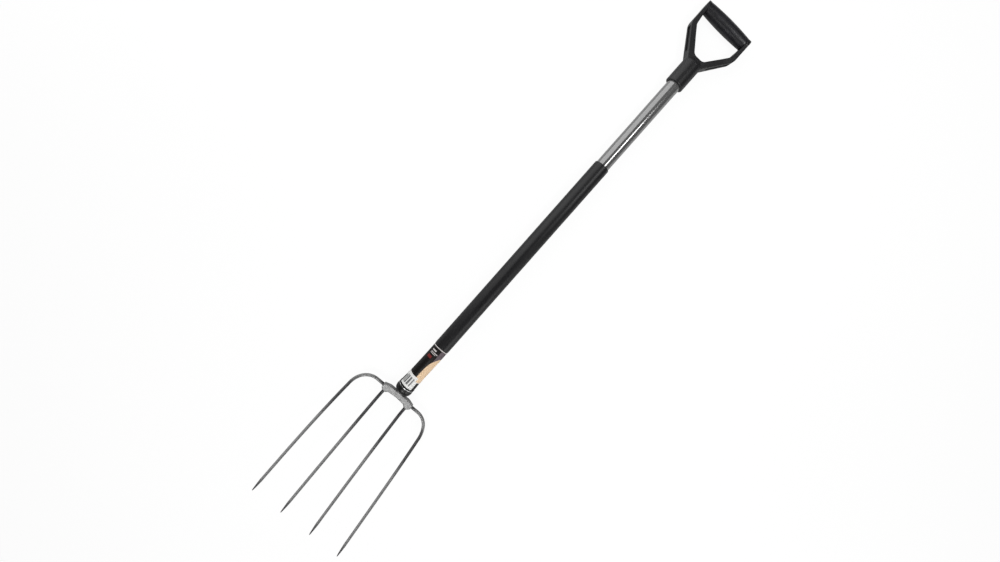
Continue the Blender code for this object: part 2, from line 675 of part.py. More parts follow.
def grip_barrel(handle):
    """The crowned barrel between the lugs, bored for the grip pin."""
    half = GRIP_HALF - LUG_THICKNESS - SEAT_GAP
    bore = GRIP_PIN_RADIUS + SEAT_GAP
    bm = bmesh.new()
    outline = [(half, bore), (half, BARREL_END_RADIUS)]
    crown = BARREL_MIDDLE_RADIUS - BARREL_END_RADIUS
    for step in range(1, CROWN_STEPS):
        share = 1 - 2 * step / CROWN_STEPS
        outline.append((half * share, BARREL_END_RADIUS + crown * (1 - share ** 2)))
    outline += [(-half, BARREL_END_RADIUS), (-half, bore)]
    loop = [bm.verts.new((0, y, r)) for y, r in outline]
    for index, vertex in enumerate(loop):
        bm.edges.new((vertex, loop[(index + 1) % len(loop)]))
    bmesh.ops.spin(bm, geom=bm.verts[:] + bm.edges[:], cent=(0, 0, 0), axis=(0, 1, 0),
                   angle=2 * math.pi, steps=ROUND, use_duplicate=False)
    bmesh.ops.remove_doubles(bm, verts=bm.verts, dist=1e-6)
    barrel = piece("grip_barrel", bm, "grip_polypropylene", handle)
    barrel.location.x = GRIP_X
    return barrel


def grip_pin(handle):
    """The steel pin through both lugs and the barrel."""
    half = GRIP_HALF - GRIP_PIN_RECESS
    return rod("grip_pin", GRIP_PIN_RADIUS, (GRIP_X, -half, 0), (GRIP_X, half, 0), "zinc_plated_steel",
               handle, edge=PIN_EDGE)


def handle_screw(handle, yoke, tube):
    """The pan-head screw in the back of the socket, driven through the tube's wall."""
    seat = SOCKET_RADIUS - SCREW_RECESS
    tip = TUBE_RADIUS - SCREW_REACH
    screw = rod("handle_screw", SCREW_HEAD_RADIUS, (SCREW_X, 0, -seat - SEAT_GAP - SCREW_HEAD_HEIGHT),
                (SCREW_X, 0, -seat - SEAT_GAP), "zinc_plated_steel", handle, edge=PIN_EDGE)
    combine(screw, "UNION", rod("screw shank", SCREW_RADIUS, (SCREW_X, 0, -seat - SCREW_HEAD_HEIGHT / 2),
                                (SCREW_X, 0, -tip), None, handle))
    recess = rod("screw recess", SCREW_HEAD_RADIUS + SEAT_GAP, (SCREW_X, 0, -SOCKET_RADIUS * 2),
                 (SCREW_X, 0, -seat), None, handle)
    hole = rod("screw hole", SCREW_RADIUS + SEAT_GAP, (SCREW_X, 0, -SOCKET_RADIUS * 2),
               (SCREW_X, 0, -tip / 2), None, handle)
    combine(yoke, "DIFFERENCE", recess)
    combine(yoke, "DIFFERENCE", hole)
    combine(tube, "DIFFERENCE", hole)
    return screw


def lay_on_ground(root):
    """Tip the fork until its head and its handle both touch the ground, and centre it over the origin."""
    bpy.context.view_layer.update()
    graph = bpy.context.evaluated_depsgraph_get()
    points = []
    for item in bpy.data.objects:
        if item.type in {"MESH", "CURVE"} and not item.hide_render:
            shape = item.evaluated_get(graph)
            mesh = shape.to_mesh()
            points += [shape.matrix_world @ v.co for v in mesh.vertices]
            shape.to_mesh_clear()
    head = [p for p in points if p.x < -BEND_ARC]
    handle = [p for p in points if p.x > SLEEVE_LENGTH]
    heel = min(head, key=lambda p: p.z)
    for _ in range(3):
        slope = min((p.z - heel.z) / (p.x - heel.x) for p in handle)
        heel = min(head, key=lambda p: p.z - slope * p.x)
    turn = Matrix.Rotation(math.atan(slope), 3, "Y")
    laid = [turn @ p for p in points]
    root.rotation_euler = (0, math.atan(slope), 0)
    root.location = (-(min(p.x for p in laid) + max(p.x for p in laid)) / 2, 0, -min(p.z for p in laid))
    bpy.context.view_layer.update()


def main():
    """Build the fork."""
    clear_scene()
    root = empty("compost_fork")
    head = empty("fork_head", root, carried_round_bend((BRIDGE_X, 0, 0)), -BEND_ANGLE)
    handle = empty("d_handle", root, (SOCKET_X, 0, 0))
    tube = shaft_tube(root)
    grip_sleeve(root)
    lower_sheath(root)
    wrap = label_wrap(root, head)
    neck_rings(root)
    collar(root)
    bush = tang_bush(root)
    body = bridge(head)
    tines(head, body)
    head_pin(head, (tube, bush, body))
    yoke = d_handle_yoke(handle)
    grip_barrel(handle)
    grip_pin(handle)
    handle_screw(handle, yoke, tube)
    for item in (body, yoke, wrap):
        even_shading(item)
    lay_on_ground(root)


main()
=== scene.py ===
"""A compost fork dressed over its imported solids: head, shaft and D handle on a white studio floor.

Every piece is drawn in the plain frame that suits it (along a straight shaft, from the bridge of the
head, or from the rim of the handle's socket) and then carried to where its solid lies. Sizes are metres.
"""
import logging
import math
from collections.abc import Sequence
from dataclasses import dataclass
from enum import Enum

import bmesh
import bpy
from bpy.types import Material, NodeSocket, NodeTree, Object
from mathutils import Matrix, Vector


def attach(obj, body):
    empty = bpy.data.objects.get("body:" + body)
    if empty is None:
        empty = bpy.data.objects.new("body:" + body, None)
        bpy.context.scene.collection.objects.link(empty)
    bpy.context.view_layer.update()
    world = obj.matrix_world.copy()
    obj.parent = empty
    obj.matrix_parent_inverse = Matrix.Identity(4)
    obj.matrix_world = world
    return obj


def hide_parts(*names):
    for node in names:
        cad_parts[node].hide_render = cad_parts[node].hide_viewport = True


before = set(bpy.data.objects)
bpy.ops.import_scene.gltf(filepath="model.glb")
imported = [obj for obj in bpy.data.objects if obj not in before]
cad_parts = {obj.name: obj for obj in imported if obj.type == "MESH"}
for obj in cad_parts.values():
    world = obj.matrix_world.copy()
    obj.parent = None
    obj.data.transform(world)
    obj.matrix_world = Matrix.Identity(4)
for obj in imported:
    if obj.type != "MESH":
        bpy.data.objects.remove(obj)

LOG = logging.getLogger("compost_fork")
BODY = "root"

Span = tuple[float, float]
Triple = tuple[float, float, float]

# Facets round a large turned piece, a drilled hole and a small turned piece
ROUND, DRILLED, SMALL_ROUND = 96, 64, 48

# Lengths below this one count as none
TINY = 1e-6
WHITE = (1.0, 1.0, 1.0, 1.0)


class Side(Enum):
    """The two hands of the fork, as the sign of Y."""

    LEFT = 1
    RIGHT = -1


class Row(Enum):
    """Where a tine stands in the head."""

    INNER = "inner"
    OUTER = "outer"


# Finishes

# Noise seldom leaves this span, so it is stretched from here to the whole of what it drives
NOISE_LOW, NOISE_HIGH = 0.3, 0.7


def srgb(code: str) -> tuple[float, ...]:
    """Turn an sRGB hex colour into the linear values that shaders read."""
    channels = [int(code[i:i + 2], 16) / 255 for i in (0, 2, 4)]
    return (*(c / 12.92 if c <= 0.04045 else ((c + 0.055) / 1.055) ** 2.4 for c in channels), 1.0)


def add_node(tree: NodeTree, kind: str, inputs: dict | None = None, out: int | str = 0,
             **settings) -> NodeSocket:
    """Add a node, set its properties and fill or link its inputs.

    Args:
        tree: The node tree that gets the node.
        kind: The node's type, without its ShaderNode prefix.
        inputs: Socket name or number to a value or to another node's output.
        out: Number or name of the output that is wanted.
        settings: Properties of the node itself.

    Returns:
        The output.
    """
    node = tree.nodes.new(f"ShaderNode{kind}")
    for name, value in settings.items():
        setattr(node, name, value)
    for name, value in (inputs or {}).items():
        if isinstance(value, NodeSocket):
            tree.links.new(value, node.inputs[name])
        else:
            node.inputs[name].default_value = value
    return node.outputs[out]


@dataclass(frozen=True)
class Grain:
    """Noise of one real size: its grain in metres, and how far it is drawn out along X."""

    size: float
    stretch: float = 1.0
    detail: float = 2.0
    roughness: float = 0.5

    def build(self, tree: NodeTree, turn: float = 0.0) -> NodeSocket:
        """Add the noise on Object coordinates, turned about Y with the piece.

        Args:
            tree: The material's node tree.
            turn: Angle about Y between the piece's long axis and X.

        Returns:
            The noise's value.
        """
        place = add_node(tree, "TexCoord", out="Object")
        drawn = add_node(tree, "Mapping", {"Vector": place, "Rotation": (0, turn, 0),
                                           "Scale": (self.stretch, 1, 1)}, vector_type="TEXTURE")
        return add_node(tree, "TexNoise", {"Vector": drawn, "Scale": 1 / self.size, "Detail": self.detail,
                                           "Roughness": self.roughness})


@dataclass(frozen=True)
class Finish:
    """A surface whose colour, roughness and relief vary by grains of real size.

    The colour moves between two close shades by the mottle grain, the roughness by the smudge grain,
    and the relief grain gives the texture of the mould, the die or the lacquer. Sharp edges take the
    edge colour: rubbed wear on the plastic and the rubber, a painted highlight on the forging.
    """

    name: str
    slot: str
    shade: str
    tint: str
    mottle: Grain
    rough: Span
    smudge: Grain
    relief: Grain
    depth: float
    metallic: float = 0.0
    coat: float = 0.0
    coat_rough: float = 0.1
    specular: float = 0.5
    # Colour of sharp edges: rubbed wear on plastic and rubber, a painted highlight on the forging
    edge: str | None = None
    edge_bend: Span = (0.515, 0.60)
    edge_share: float = 0.75
    turn: float = 0.0
    smudge_span: Span = (NOISE_LOW, NOISE_HIGH)

    def material(self) -> Material:
        """Make the Blender material, once. A metal keeps the default IOR.

        Returns:
            The material.
        """
        made = bpy.data.materials.get(self.name)
        if made:
            return made
        made = bpy.data.materials.new(self.name)
        made.use_nodes = True
        tree = made.node_tree
        shader = tree.nodes["Principled BSDF"]
        shader.inputs["Metallic"].default_value = self.metallic
        shader.inputs["Coat Weight"].default_value = self.coat
        shader.inputs["Coat Roughness"].default_value = self.coat_rough
        if not self.metallic:
            shader.inputs["Specular IOR Level"].default_value = self.specular
        tree.links.new(self.colour(tree), shader.inputs["Base Color"])
        tree.links.new(self.roughness(tree), shader.inputs["Roughness"])
        tree.links.new(self.bump(tree), shader.inputs["Normal"])
        return made

    def colour(self, tree: NodeTree) -> NodeSocket:
        """Mottle between the shade and the tint, with the edge colour on sharp edges: rubbed wear on plastic
        and rubber, a painted highlight on the forging.

        Args:
            tree: The material's node tree.

        Returns:
            The colour.
        """
        spread = add_node(tree, "MapRange", {"Value": self.mottle.build(tree, self.turn),
                                             "From Min": NOISE_LOW, "From Max": NOISE_HIGH})
        mixed = add_node(tree, "MixRGB", {"Fac": spread, "Color1": srgb(self.shade),
                                          "Color2": srgb(self.tint)})
        if not self.edge:
            return mixed
        # Sharp edges take the edge colour: rubbed wear on plastic and rubber, a painted highlight on the
        # forging
        gentle, sharp = self.edge_bend
        bend = add_node(tree, "NewGeometry", out="Pointiness")
        edge_wear_and_highlight = add_node(tree, "MapRange", {"Value": bend, "From Min": gentle, "From Max": sharp,
                                           "To Max": self.edge_share})
        return add_node(tree, "MixRGB", {"Fac": edge_wear_and_highlight, "Color1": mixed, "Color2": srgb(self.edge)})

    def roughness(self, tree: NodeTree) -> NodeSocket:
        """Roughness that wanders as hands, dust and the process leave it."""
        low, high = self.smudge_span
        return add_node(tree, "MapRange", {"Value": self.smudge.build(tree, self.turn), "From Min": low,
                                           "From Max": high, "To Min": self.rough[0],
                                           "To Max": self.rough[1]})

    def bump(self, tree: NodeTree) -> NodeSocket:
        """The relief grain as a bump of real depth."""
        return add_node(tree, "Bump", {"Height": self.relief.build(tree, self.turn), "Distance": self.depth})


@dataclass(frozen=True)
class HighlitTine(Finish):
    """Lacquered bar with a painted highlight, pale on the shoulders and in the sweep, dark at heel and
    point.

    The painted highlight fades in raggedly along the bar. Each pair is where the painted highlight
    starts and is full.
    """

    # Colour of the painted highlight on the shoulders and in the sweep
    highlight_colour: str = "868686"
    heel_x: Span = (-0.435, -0.475)
    point_x: Span = (-0.591, -0.577)
    shoulder_x: Span = (-0.399, -0.378)
    shoulder_y: Span = (0.038, 0.050)
    highlight_ragging: Grain = Grain(0.004, 6.0)
    highlight_ragging_reach: float = 0.010

    def colour(self, tree: NodeTree) -> NodeSocket:
        """Blend the painted highlight in on the shoulders and in the sweep, raggedly.

        Args:
            tree: The material's node tree.

        Returns:
            The colour.
        """
        plain_colour = super().colour(tree)
        x = add_node(tree, "SeparateXYZ", {"Vector": add_node(tree, "TexCoord", out="Object")})
        ragged = add_node(tree, "MapRange", {"Value": self.highlight_ragging.build(tree), "To Min": -self.highlight_ragging_reach,
                                             "To Max": self.highlight_ragging_reach})
        along = add_node(tree, "Math", {0: x, 1: ragged}, operation="ADD")
        aside = add_node(tree, "Math", {0: x.node.outputs["Y"]}, operation="ABSOLUTE")
        heel, point, back, out = (
            add_node(tree, "MapRange", {"Value": value, "From Min": start, "From Max": full})
            for value, (start, full) in ((along, self.heel_x), (along, self.point_x),
                                         (along, self.shoulder_x), (aside, self.shoulder_y)))
        # Painted highlight: the bar is paler on the shoulders and in the sweep, with a ragged edge
        sweep = add_node(tree, "Math", {0: heel, 1: point}, operation="MULTIPLY")
        shoulder = add_node(tree, "Math", {0: back, 1: out}, operation="MULTIPLY")
        highlight_share = add_node(tree, "Math", {0: sweep, 1: shoulder}, operation="MAXIMUM")
        return add_node(tree, "MixRGB", {"Fac": highlight_share, "Color1": plain_colour, "Color2": srgb(self.highlight_colour)})


@dataclass(frozen=True)
class Lines:
    """Lines of uneven width along V, by a noise that runs across the label.

    The limits are where in the noise a line starts and is full.
    """

    count: float
    detail: float
    limits: Span
    strength: float


# Limits beyond both edges of the label, and how far ink spreads at a limit
ALL_ROUND = (-1.0, 2.0)
INK_BLEND = 0.003


@dataclass(frozen=True)
class Layer:
    """A printed block: its ink, its limits in U and V, its blend in U, its lean and its lines."""

    ink: str
    u: Span
    v: Span
    blend: float = INK_BLEND
    leans: bool = False
    lines: Lines | None = None

    def printed(self, tree: NodeTree, under: NodeSocket, u: NodeSocket, v: NodeSocket) -> NodeSocket:
        """Print the block over what is there.

        Args:
            tree: The material's node tree.
            under: The colour that is there.
            u: Place round the label.
            v: Place up the label.

        Returns:
            The colour.
        """
        masks = [add_node(tree, "MapRange", {"Value": value, "From Min": limit - way,
                                             "From Max": limit + way})
                 for value, (low, high), blend in ((u, self.u, self.blend), (v, self.v, INK_BLEND))
                 for limit, way in ((low, blend), (high, -blend))]
        if self.lines:
            place = add_node(tree, "Math", {0: u, 1: self.lines.count}, operation="MULTIPLY")
            noise = add_node(tree, "TexNoise", {"W": place, "Scale": 1.0, "Detail": self.lines.detail},
                             noise_dimensions="1D")
            start, full = self.lines.limits
            masks.append(add_node(tree, "MapRange", {"Value": noise, "From Min": start, "From Max": full,
                                                     "To Max": self.lines.strength}))
        share = masks[0]
        for mask in masks[1:]:
            share = add_node(tree, "Math", {0: share, 1: mask}, operation="MULTIPLY")
        return add_node(tree, "MixRGB", {"Fac": share, "Color1": under, "Color2": srgb(self.ink)})


@dataclass(frozen=True)
class PrintedFilm(Finish):
    """Label film printed in flat colours, laid out on the label's own unrolled map.

    U runs round the shaft (0.5 faces straight up, more is towards the right hand) and V from the foot
    of the tongue to the top. The print is generic: stock bars on a white panel, a dark field with a few
    plain marks, and a straw field with stalks drawn across it, whose edge leans right as it rises.
    """

    field: Span = (0.289, 0.83)
    lean: float = -0.14
    lean_power: float = 5.4
    layers: tuple[Layer, ...] = (
        Layer("655A60", (0.545, 0.86), (0.71, 0.985)),
        Layer("FBDCB8", (0.508, 0.80), field, 0.006, True),
        Layer("DDAA6C", (0.508, 0.80), field, 0.006, True, Lines(95.0, 2.0, (0.52, 0.66), 0.55)),
        Layer("F8F8F6", ALL_ROUND, (-0.1, 0.289)),
        Layer("FBDCB8", (0.560, 0.80), (0.197, 0.299), 0.006),
        Layer("58595C", (0.335, 0.520), (0.045, 0.232), lines=Lines(30.0, 1.0, (0.40, 0.50), 0.90)),
        Layer("DDD8D6", (0.36, 0.46), (0.905, 0.930)), Layer("DDD8D6", (0.36, 0.53), (0.868, 0.880)),
        Layer("DDD8D6", (0.36, 0.50), (0.845, 0.855)), Layer("7C2A26", (0.36, 0.46), (0.750, 0.805)),
        Layer("DDD8D6", ALL_ROUND, (0.984, 1.1)))

    def colour(self, tree: NodeTree) -> NodeSocket:
        """Print layer on layer over the ground.

        Args:
            tree: The material's node tree.

        Returns:
            The colour.
        """
        colour = super().colour(tree)
        u = add_node(tree, "SeparateXYZ", {"Vector": add_node(tree, "UVMap")})
        v = u.node.outputs["Y"]
        foot, top = self.field
        rise = add_node(tree, "MapRange", {"Value": v, "From Min": foot, "From Max": top})
        swell = add_node(tree, "Math", {0: rise, 1: self.lean_power}, operation="POWER")
        leaning = add_node(tree, "Math", {0: swell, 1: self.lean, 2: u}, operation="MULTIPLY_ADD")
        for layer in self.layers:
            colour = layer.printed(tree, colour, leaning if layer.leans else u, v)
        return colour


SHAFT_TURN = math.asin(0.020133)

# Polypropylene from a spark-eroded mould: an even satin black, a shade lighter where edges get rubbed
MOULDED_POLYPROPYLENE = Finish(
    "moulded_polypropylene", "handle_polypropylene", "131315", "1B1B1D", Grain(0.018), (0.33, 0.44),
    Grain(0.030), Grain(0.0007, 1.0, 3.0), 0.00005, edge="303033")

# Softer polypropylene of the barrel: a little bluer, and polished by hands
SATIN_GRIP = Finish(
    "satin_grip_polypropylene", "grip_polypropylene", "161619", "201F25", Grain(0.022, 0.5), (0.32, 0.44),
    Grain(0.016), Grain(0.0008, 1.0, 3.0), 0.00004)

# Steel tube under grey metallic stove enamel: fine flake, slight orange peel, a clear glossy skin
METALLIC_ENAMEL = Finish(
    "grey_metallic_enamel", "grey_painted_tube", "828282", "8B8B8B", Grain(0.0009, 1.0, 1.0),
    (0.13, 0.20), Grain(0.035, 3.0), Grain(0.0035, 1.5), 0.000003, metallic=0.6, coat=1.0,
    coat_rough=0.03, turn=SHAFT_TURN)

# Extruded sleeve: faint lines along its length, scuffed to a duller grey by gloves
EXTRUDED_SLEEVE = Finish(
    "extruded_sleeve_plastic", "sleeve_black_plastic", "101012", "19191B", Grain(0.0022, 16.0, 4.0, 0.6),
    (0.35, 0.44), Grain(0.018, 5.0, 4.0), Grain(0.0009, 9.0, 2.0), 0.000025, specular=0.42,
    turn=SHAFT_TURN)

# Thin shrunk sheath under the label: a dull black film, slightly rippled by the shrinking
SHRUNK_SHEATH = Finish(
    "shrunk_sheath_plastic", "sheath_black_plastic", "121213", "1A1A1B", Grain(0.006, 2.0), (0.38, 0.52),
    Grain(0.012), Grain(0.0030, 2.0), 0.00006, specular=0.25, turn=SHAFT_TURN)

# Moulded rubber: matt on the seal ring, with a bloom of dust in its pores, and satin on the boot
SEAL_RUBBER = Finish(
    "seal_ring_rubber", "seal_black_rubber", "0F0F10", "1A1A1A", Grain(0.0025), (0.55, 0.72),
    Grain(0.005), Grain(0.0006, 1.0, 3.0), 0.00005, specular=0.25)
BOOT_RUBBER = Finish(
    "boot_rubber", "collar_black_rubber", "0B0B0C", "131314", Grain(0.005), (0.28, 0.42),
    Grain(0.007), Grain(0.0006, 1.0, 3.0), 0.00004, edge="2C2C2E")

# Rolled band of bright steel, polished round its length: one clean bright line
BRIGHT_BAND = Finish(
    "bright_rolled_band", "bright_steel_band", "DCDDDE", "EEEFEF", Grain(0.004), (0.20, 0.29),
    Grain(0.003), Grain(0.0012), 0.00001, metallic=1.0)

# Natural nylon 6: waxy ivory
NATURAL_NYLON = Finish(
    "natural_nylon", "bush_nylon", "D3CDBB", "DDD8C8", Grain(0.010), (0.45, 0.60), Grain(0.010),
    Grain(0.0010), 0.00003)

# Bright zinc plate: pale steel with a faint cloudiness
ZINC_PLATE = Finish(
    "bright_zinc_plate", "zinc_plated_steel", "A9ABAE", "BDBFC2", Grain(0.0020), (0.24, 0.38),
    Grain(0.0030), Grain(0.0008), 0.00002, metallic=1.0)

# Drop-forged steel under grey metallic lacquer: the die leaves it gently dimpled, and its edges get a
# painted highlight in the pale edge colour
FORGED_LACQUER = Finish(
    "lacquered_forging", "bridge_forged_steel", "838383", "8E8E8E", Grain(0.0070, 1.0, 1.0),
    (0.34, 0.46), Grain(0.006), Grain(0.0050, 1.0, 1.0), 0.00005, metallic=0.35, coat=0.2,
    coat_rough=0.25, edge="B4B5B6")

# Drawn steel bar under the same lacquer, dark grey with faint lines along the bar, and a painted highlight
# on the shoulders and in the sweep
TINE_LACQUER = HighlitTine(
    "lacquered_drawn_bar", "tine_steel", "3F3F40", "4D4D4E", Grain(0.0014, 12.0, 3.0),
    (0.28, 0.40), Grain(0.008, 5.0), Grain(0.0009, 10.0, 3.0), 0.00002, metallic=0.55, coat=0.3,
    coat_rough=0.20)

# Paper label under a matt film: flat inks, a little gloss, and shallow creases from the rolling on
LABEL_PRINT = PrintedFilm(
    "printed_label_film", "label_film", "100C0B", "100C0B", Grain(0.010), (0.42, 0.60),
    Grain(0.0012, 3.0), Grain(0.011, 2.0), 0.00035, coat=0.08, coat_rough=0.25, specular=0.25,
    smudge_span=(0.0, 1.0))


# Bench work

def spaced(first: float, last: float, count: int) -> list[float]:
    """Values in even steps from one to another, both of them in."""
    return [first + (last - first) * k / count for k in range(count + 1)]


def arc(centre: Span, radii: Span, start: float, end: float, steps: int) -> list[Span]:
    """Points of an elliptic arc, from one angle to another, 0 along the second axis."""
    return [(centre[0] + radii[0] * math.sin(turn), centre[1] + radii[1] * math.cos(turn))
            for turn in spaced(start, end, steps)]


def deselect_all() -> None:
    """Leave edit mode with nothing selected."""
    if bpy.context.mode != "OBJECT":
        bpy.ops.object.mode_set(mode="OBJECT")
    bpy.ops.object.select_all(action="DESELECT")


def take(item: Object) -> None:
    """Make one object the only one selected, and active."""
    deselect_all()
    item.select_set(True)
    bpy.context.view_layer.objects.active = item


def added(name: str) -> Object:
    """Name the object that was added last."""
    item = bpy.context.object
    item.name = item.data.name = name
    return item


def open_all(item: Object) -> None:
    """Go into edit mode on one object, with all of it selected."""
    take(item)
    bpy.ops.object.mode_set(mode="EDIT")
    bpy.ops.mesh.select_all(action="SELECT")


def close_skin(item: Object, merge: float = 2 * TINY) -> None:
    """Merge doubled points and turn every face outwards.

    Args:
        item: The piece that is closed.
        merge: Distance below which points are doubled.
    """
    open_all(item)
    bpy.ops.mesh.remove_doubles(threshold=merge)
    bpy.ops.mesh.normals_make_consistent(inside=False)
    bpy.ops.object.mode_set(mode="OBJECT")


def apply_modifier(item: Object, kind: str, **settings) -> None:
    """Add one modifier, set it and apply it.

    Args:
        item: The piece that is worked on.
        kind: Blender's name of the modifier type.
        settings: The modifier's properties.
    """
    take(item)
    modifier = item.modifiers.new(kind.lower(), kind)
    for name, value in settings.items():
        setattr(modifier, name, value)
    bpy.ops.object.modifier_apply(modifier=modifier.name)


def join_or_cut(item: Object, tool: Object, operation: str = "DIFFERENCE") -> None:
    """Apply a Boolean with a tool, which is used up."""
    apply_modifier(item, "BOOLEAN", object=tool, operation=operation, solver="EXACT")
    bpy.data.objects.remove(tool, do_unlink=True)


def round_edges(item: Object, width: float, segments: int = 3, angle: float = 60.0) -> None:
    """Round every edge that is sharper than an angle in degrees."""
    apply_modifier(item, "BEVEL", width=width, segments=segments, limit_method="ANGLE",
                   angle_limit=math.radians(angle))


def mould(item: Object, voxel: float, passes: int, kept: float) -> None:
    """Flow a piece into one even skin, so that its joins get the fillets of a mould or a die.

    Args:
        item: The piece, a closed solid.
        voxel: Face size of the new skin.
        passes: Smoothing passes, each of which widens the fillets a little.
        kept: Share of the skin's faces that stay, most of them where it curves.
    """
    apply_modifier(item, "REMESH", mode="VOXEL", voxel_size=voxel)
    apply_modifier(item, "SMOOTH", iterations=passes)
    apply_modifier(item, "DECIMATE", ratio=kept)


def turn_on_lathe(name: str, rings: Sequence[Span], facets: int = ROUND) -> Object:
    """Turn a piece about the X axis by extruding a circle from ring to ring.

    Args:
        name: Name of the piece.
        rings: (x, radius) of each ring in turn. A ring of no radius closes to a pole. A wall, whose
            first ring has a radius, is closed back to that ring.
        facets: Faces round the piece.

    Returns:
        The turned piece.
    """
    if rings[0][1]:
        rings = [*rings, rings[0]]
    rings = [(x, max(radius, TINY)) for x, radius in rings]
    x, radius = rings[0]
    deselect_all()
    bpy.ops.mesh.primitive_circle_add(vertices=facets, radius=radius, location=(x, 0, 0),
                                      rotation=(0, math.pi / 2, 0))
    item = added(name)
    bpy.ops.object.transform_apply(location=True, rotation=True, scale=False)
    open_all(item)
    for (x, radius), (next_x, next_radius) in zip(rings, rings[1:]):
        grow = next_radius / radius
        bpy.ops.mesh.extrude_region_move(TRANSFORM_OT_translate={"value": (next_x - x, 0, 0)})
        bpy.ops.transform.resize(value=(1, grow, grow), center_override=(next_x, 0, 0))
    close_skin(item)
    return item


def drill(item: Object, radius: float, start: Triple, end: Triple, facets: int = DRILLED) -> None:
    """Cut a round hole between two points.

    Args:
        item: The piece that gets the hole.
        radius: The hole's radius.
        start: One end of the hole's centre line.
        end: The other end.
        facets: Faces round the hole.
    """
    way = Vector(end) - Vector(start)
    tool = turn_on_lathe("drill", [(0, 0), (0, radius), (way.length, radius), (way.length, 0)], facets)
    turn = Vector((1, 0, 0)).rotation_difference(way).to_matrix().to_4x4()
    tool.data.transform(Matrix.Translation(start) @ turn)
    join_or_cut(item, tool)


def cut_plate(name: str, outline: Sequence[Vector], half: float) -> Object:
    """Lay a many-sided face on an outline and extrude it to a level plate.

    Args:
        name: Name of the piece.
        outline: Points of the closed outline, in x and y.
        half: Half of the plate's thickness.

    Returns:
        The plate.
    """
    deselect_all()
    bpy.ops.mesh.primitive_circle_add(vertices=len(outline), radius=1.0, fill_type="NGON")
    item = added(name)
    for vertex, point in zip(item.data.vertices, outline):
        vertex.co = (*point, -half)
    open_all(item)
    bpy.ops.mesh.extrude_region_move(TRANSFORM_OT_translate={"value": (0, 0, 2 * half)})
    close_skin(item)
    return item


def filleted(corners: Sequence[Triple], steps: int) -> list[Vector]:
    """Round the corners of a closed outline.

    Args:
        corners: (a, b, radius) of each corner, radius 0 for a sharp one.
        steps: Faces in each fillet.

    Returns:
        The outline's points.
    """
    points = []
    for index, (a, b, radius) in enumerate(corners):
        corner = Vector((a, b))
        if not radius:
            points.append(corner)
            continue
        before = (Vector(corners[index - 1][:2]) - corner).normalized()
        after = (Vector(corners[(index + 1) % len(corners)][:2]) - corner).normalized()
        half = before.angle(after) / 2
        centre = corner + (before + after).normalized() * (radius / math.sin(half))
        spoke = corner + before * (radius / math.tan(half)) - centre
        last = corner + after * (radius / math.tan(half)) - centre
        way = math.copysign(math.pi - 2 * half, spoke.x * last.y - spoke.y * last.x)
        points += [centre + Matrix.Rotation(turn, 2) @ spoke for turn in spaced(0.0, way, steps)]
    return points


def both_halves(side: Sequence[Triple]) -> list[Triple]:
    """Join the corners of a half outline (b above 0) with their mirror images."""
    return list(side) + [(a, -b, radius) for a, b, radius in reversed(side) if b]


def hand_over(item: Object, finish: Finish, *nodes: str, smooth: float = 35.0) -> None:
    """Dress a finished piece and put it in the place of its solids.

    Args:
        item: The piece, with its place in its mesh.
        finish: What it is made of.
        nodes: The solids that it stands for.
        smooth: Angle in degrees below which faces are shaded as one.
    """
    take(item)
    bpy.ops.object.shade_smooth_by_angle(angle=math.radians(smooth))
    item.data.materials.clear()
    item.data.materials.append(finish.material())
    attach(item, BODY)
    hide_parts(*nodes)
    LOG.info("%s: %d faces, %s", item.name, len(item.data.polygons), finish.name)


# The shaft

@dataclass(frozen=True)
class ShaftLine:
    """The bent centre line of the shaft, and the frames of the head and the handle on it.

    x is 0 where the bend starts, grows towards the handle and is negative towards the tines.
    """

    start: Triple = (-0.234604, 0.0, 0.032892)
    turn: float = SHAFT_TURN
    bend_angle: float = math.radians(11.3)
    bend_radius: float = 0.150
    neck_reach: float = 0.0976
    handle_x: float = 0.6700
    ring_step: float = 0.003

    @property
    def bend_arc(self) -> float:
        """Length of the bend along the centre line."""
        return self.bend_radius * self.bend_angle

    @property
    def bridge_x(self) -> float:
        """Place of the bridge's centre line."""
        return -(self.bend_arc + self.neck_reach)

    def world(self) -> Matrix:
        """From the shaft's frame to the fork's."""
        return Matrix.Translation(self.start) @ Matrix.Rotation(self.turn, 4, "Y")

    def carried(self, point: Vector) -> Vector:
        """Carry a point that is drawn on the straight shaft to the bent one.

        Args:
            point: The point on the straight shaft.

        Returns:
            Its place on the bent one.
        """
        turn = min(max(-point.x, 0.0) / self.bend_radius, self.bend_angle)
        beyond = point.x if point.x > 0 else -max(0.0, -point.x - self.bend_arc)
        axis = Vector((-math.sin(turn), 0, math.cos(turn) - 1)) * self.bend_radius
        forward = Vector((math.cos(turn), 0, math.sin(turn)))
        upward = Vector((-math.sin(turn), 0, math.cos(turn)))
        return axis + forward * beyond + upward * point.z + Vector((0, point.y, 0))

    def head(self) -> Matrix:
        """From the frame of the bridge to the fork's."""
        at = self.carried(Vector((self.bridge_x, 0, 0)))
        return self.world() @ Matrix.Translation(at) @ Matrix.Rotation(-self.bend_angle, 4, "Y")

    def handle(self) -> Matrix:
        """From the frame of the socket's rim to the fork's."""
        return self.world() @ Matrix.Translation((self.handle_x, 0, 0))

    def bend(self, item: Object) -> None:
        """Carry a piece that was drawn on the straight shaft to its place."""
        for vertex in item.data.vertices:
            vertex.co = self.carried(vertex.co)
        item.data.transform(self.world())

    def stations(self, low: float, high: float) -> list[float]:
        """Find where a bent piece needs a ring.

        Args:
            low: Lower end of the piece.
            high: Its upper end.

        Returns:
            The places in the bend, low end first.
        """
        first, last = max(low, -self.bend_arc), min(high, 0.0)
        return spaced(first, last, max(1, round((last - first) / self.ring_step)))


@dataclass(frozen=True)
class Part:
    """What the fork's parts share: the shaft's line, the gap between pieces and the tang's radius."""

    line: ShaftLine
    gap: float = 0.0003
    tang_radius: float = 0.0070


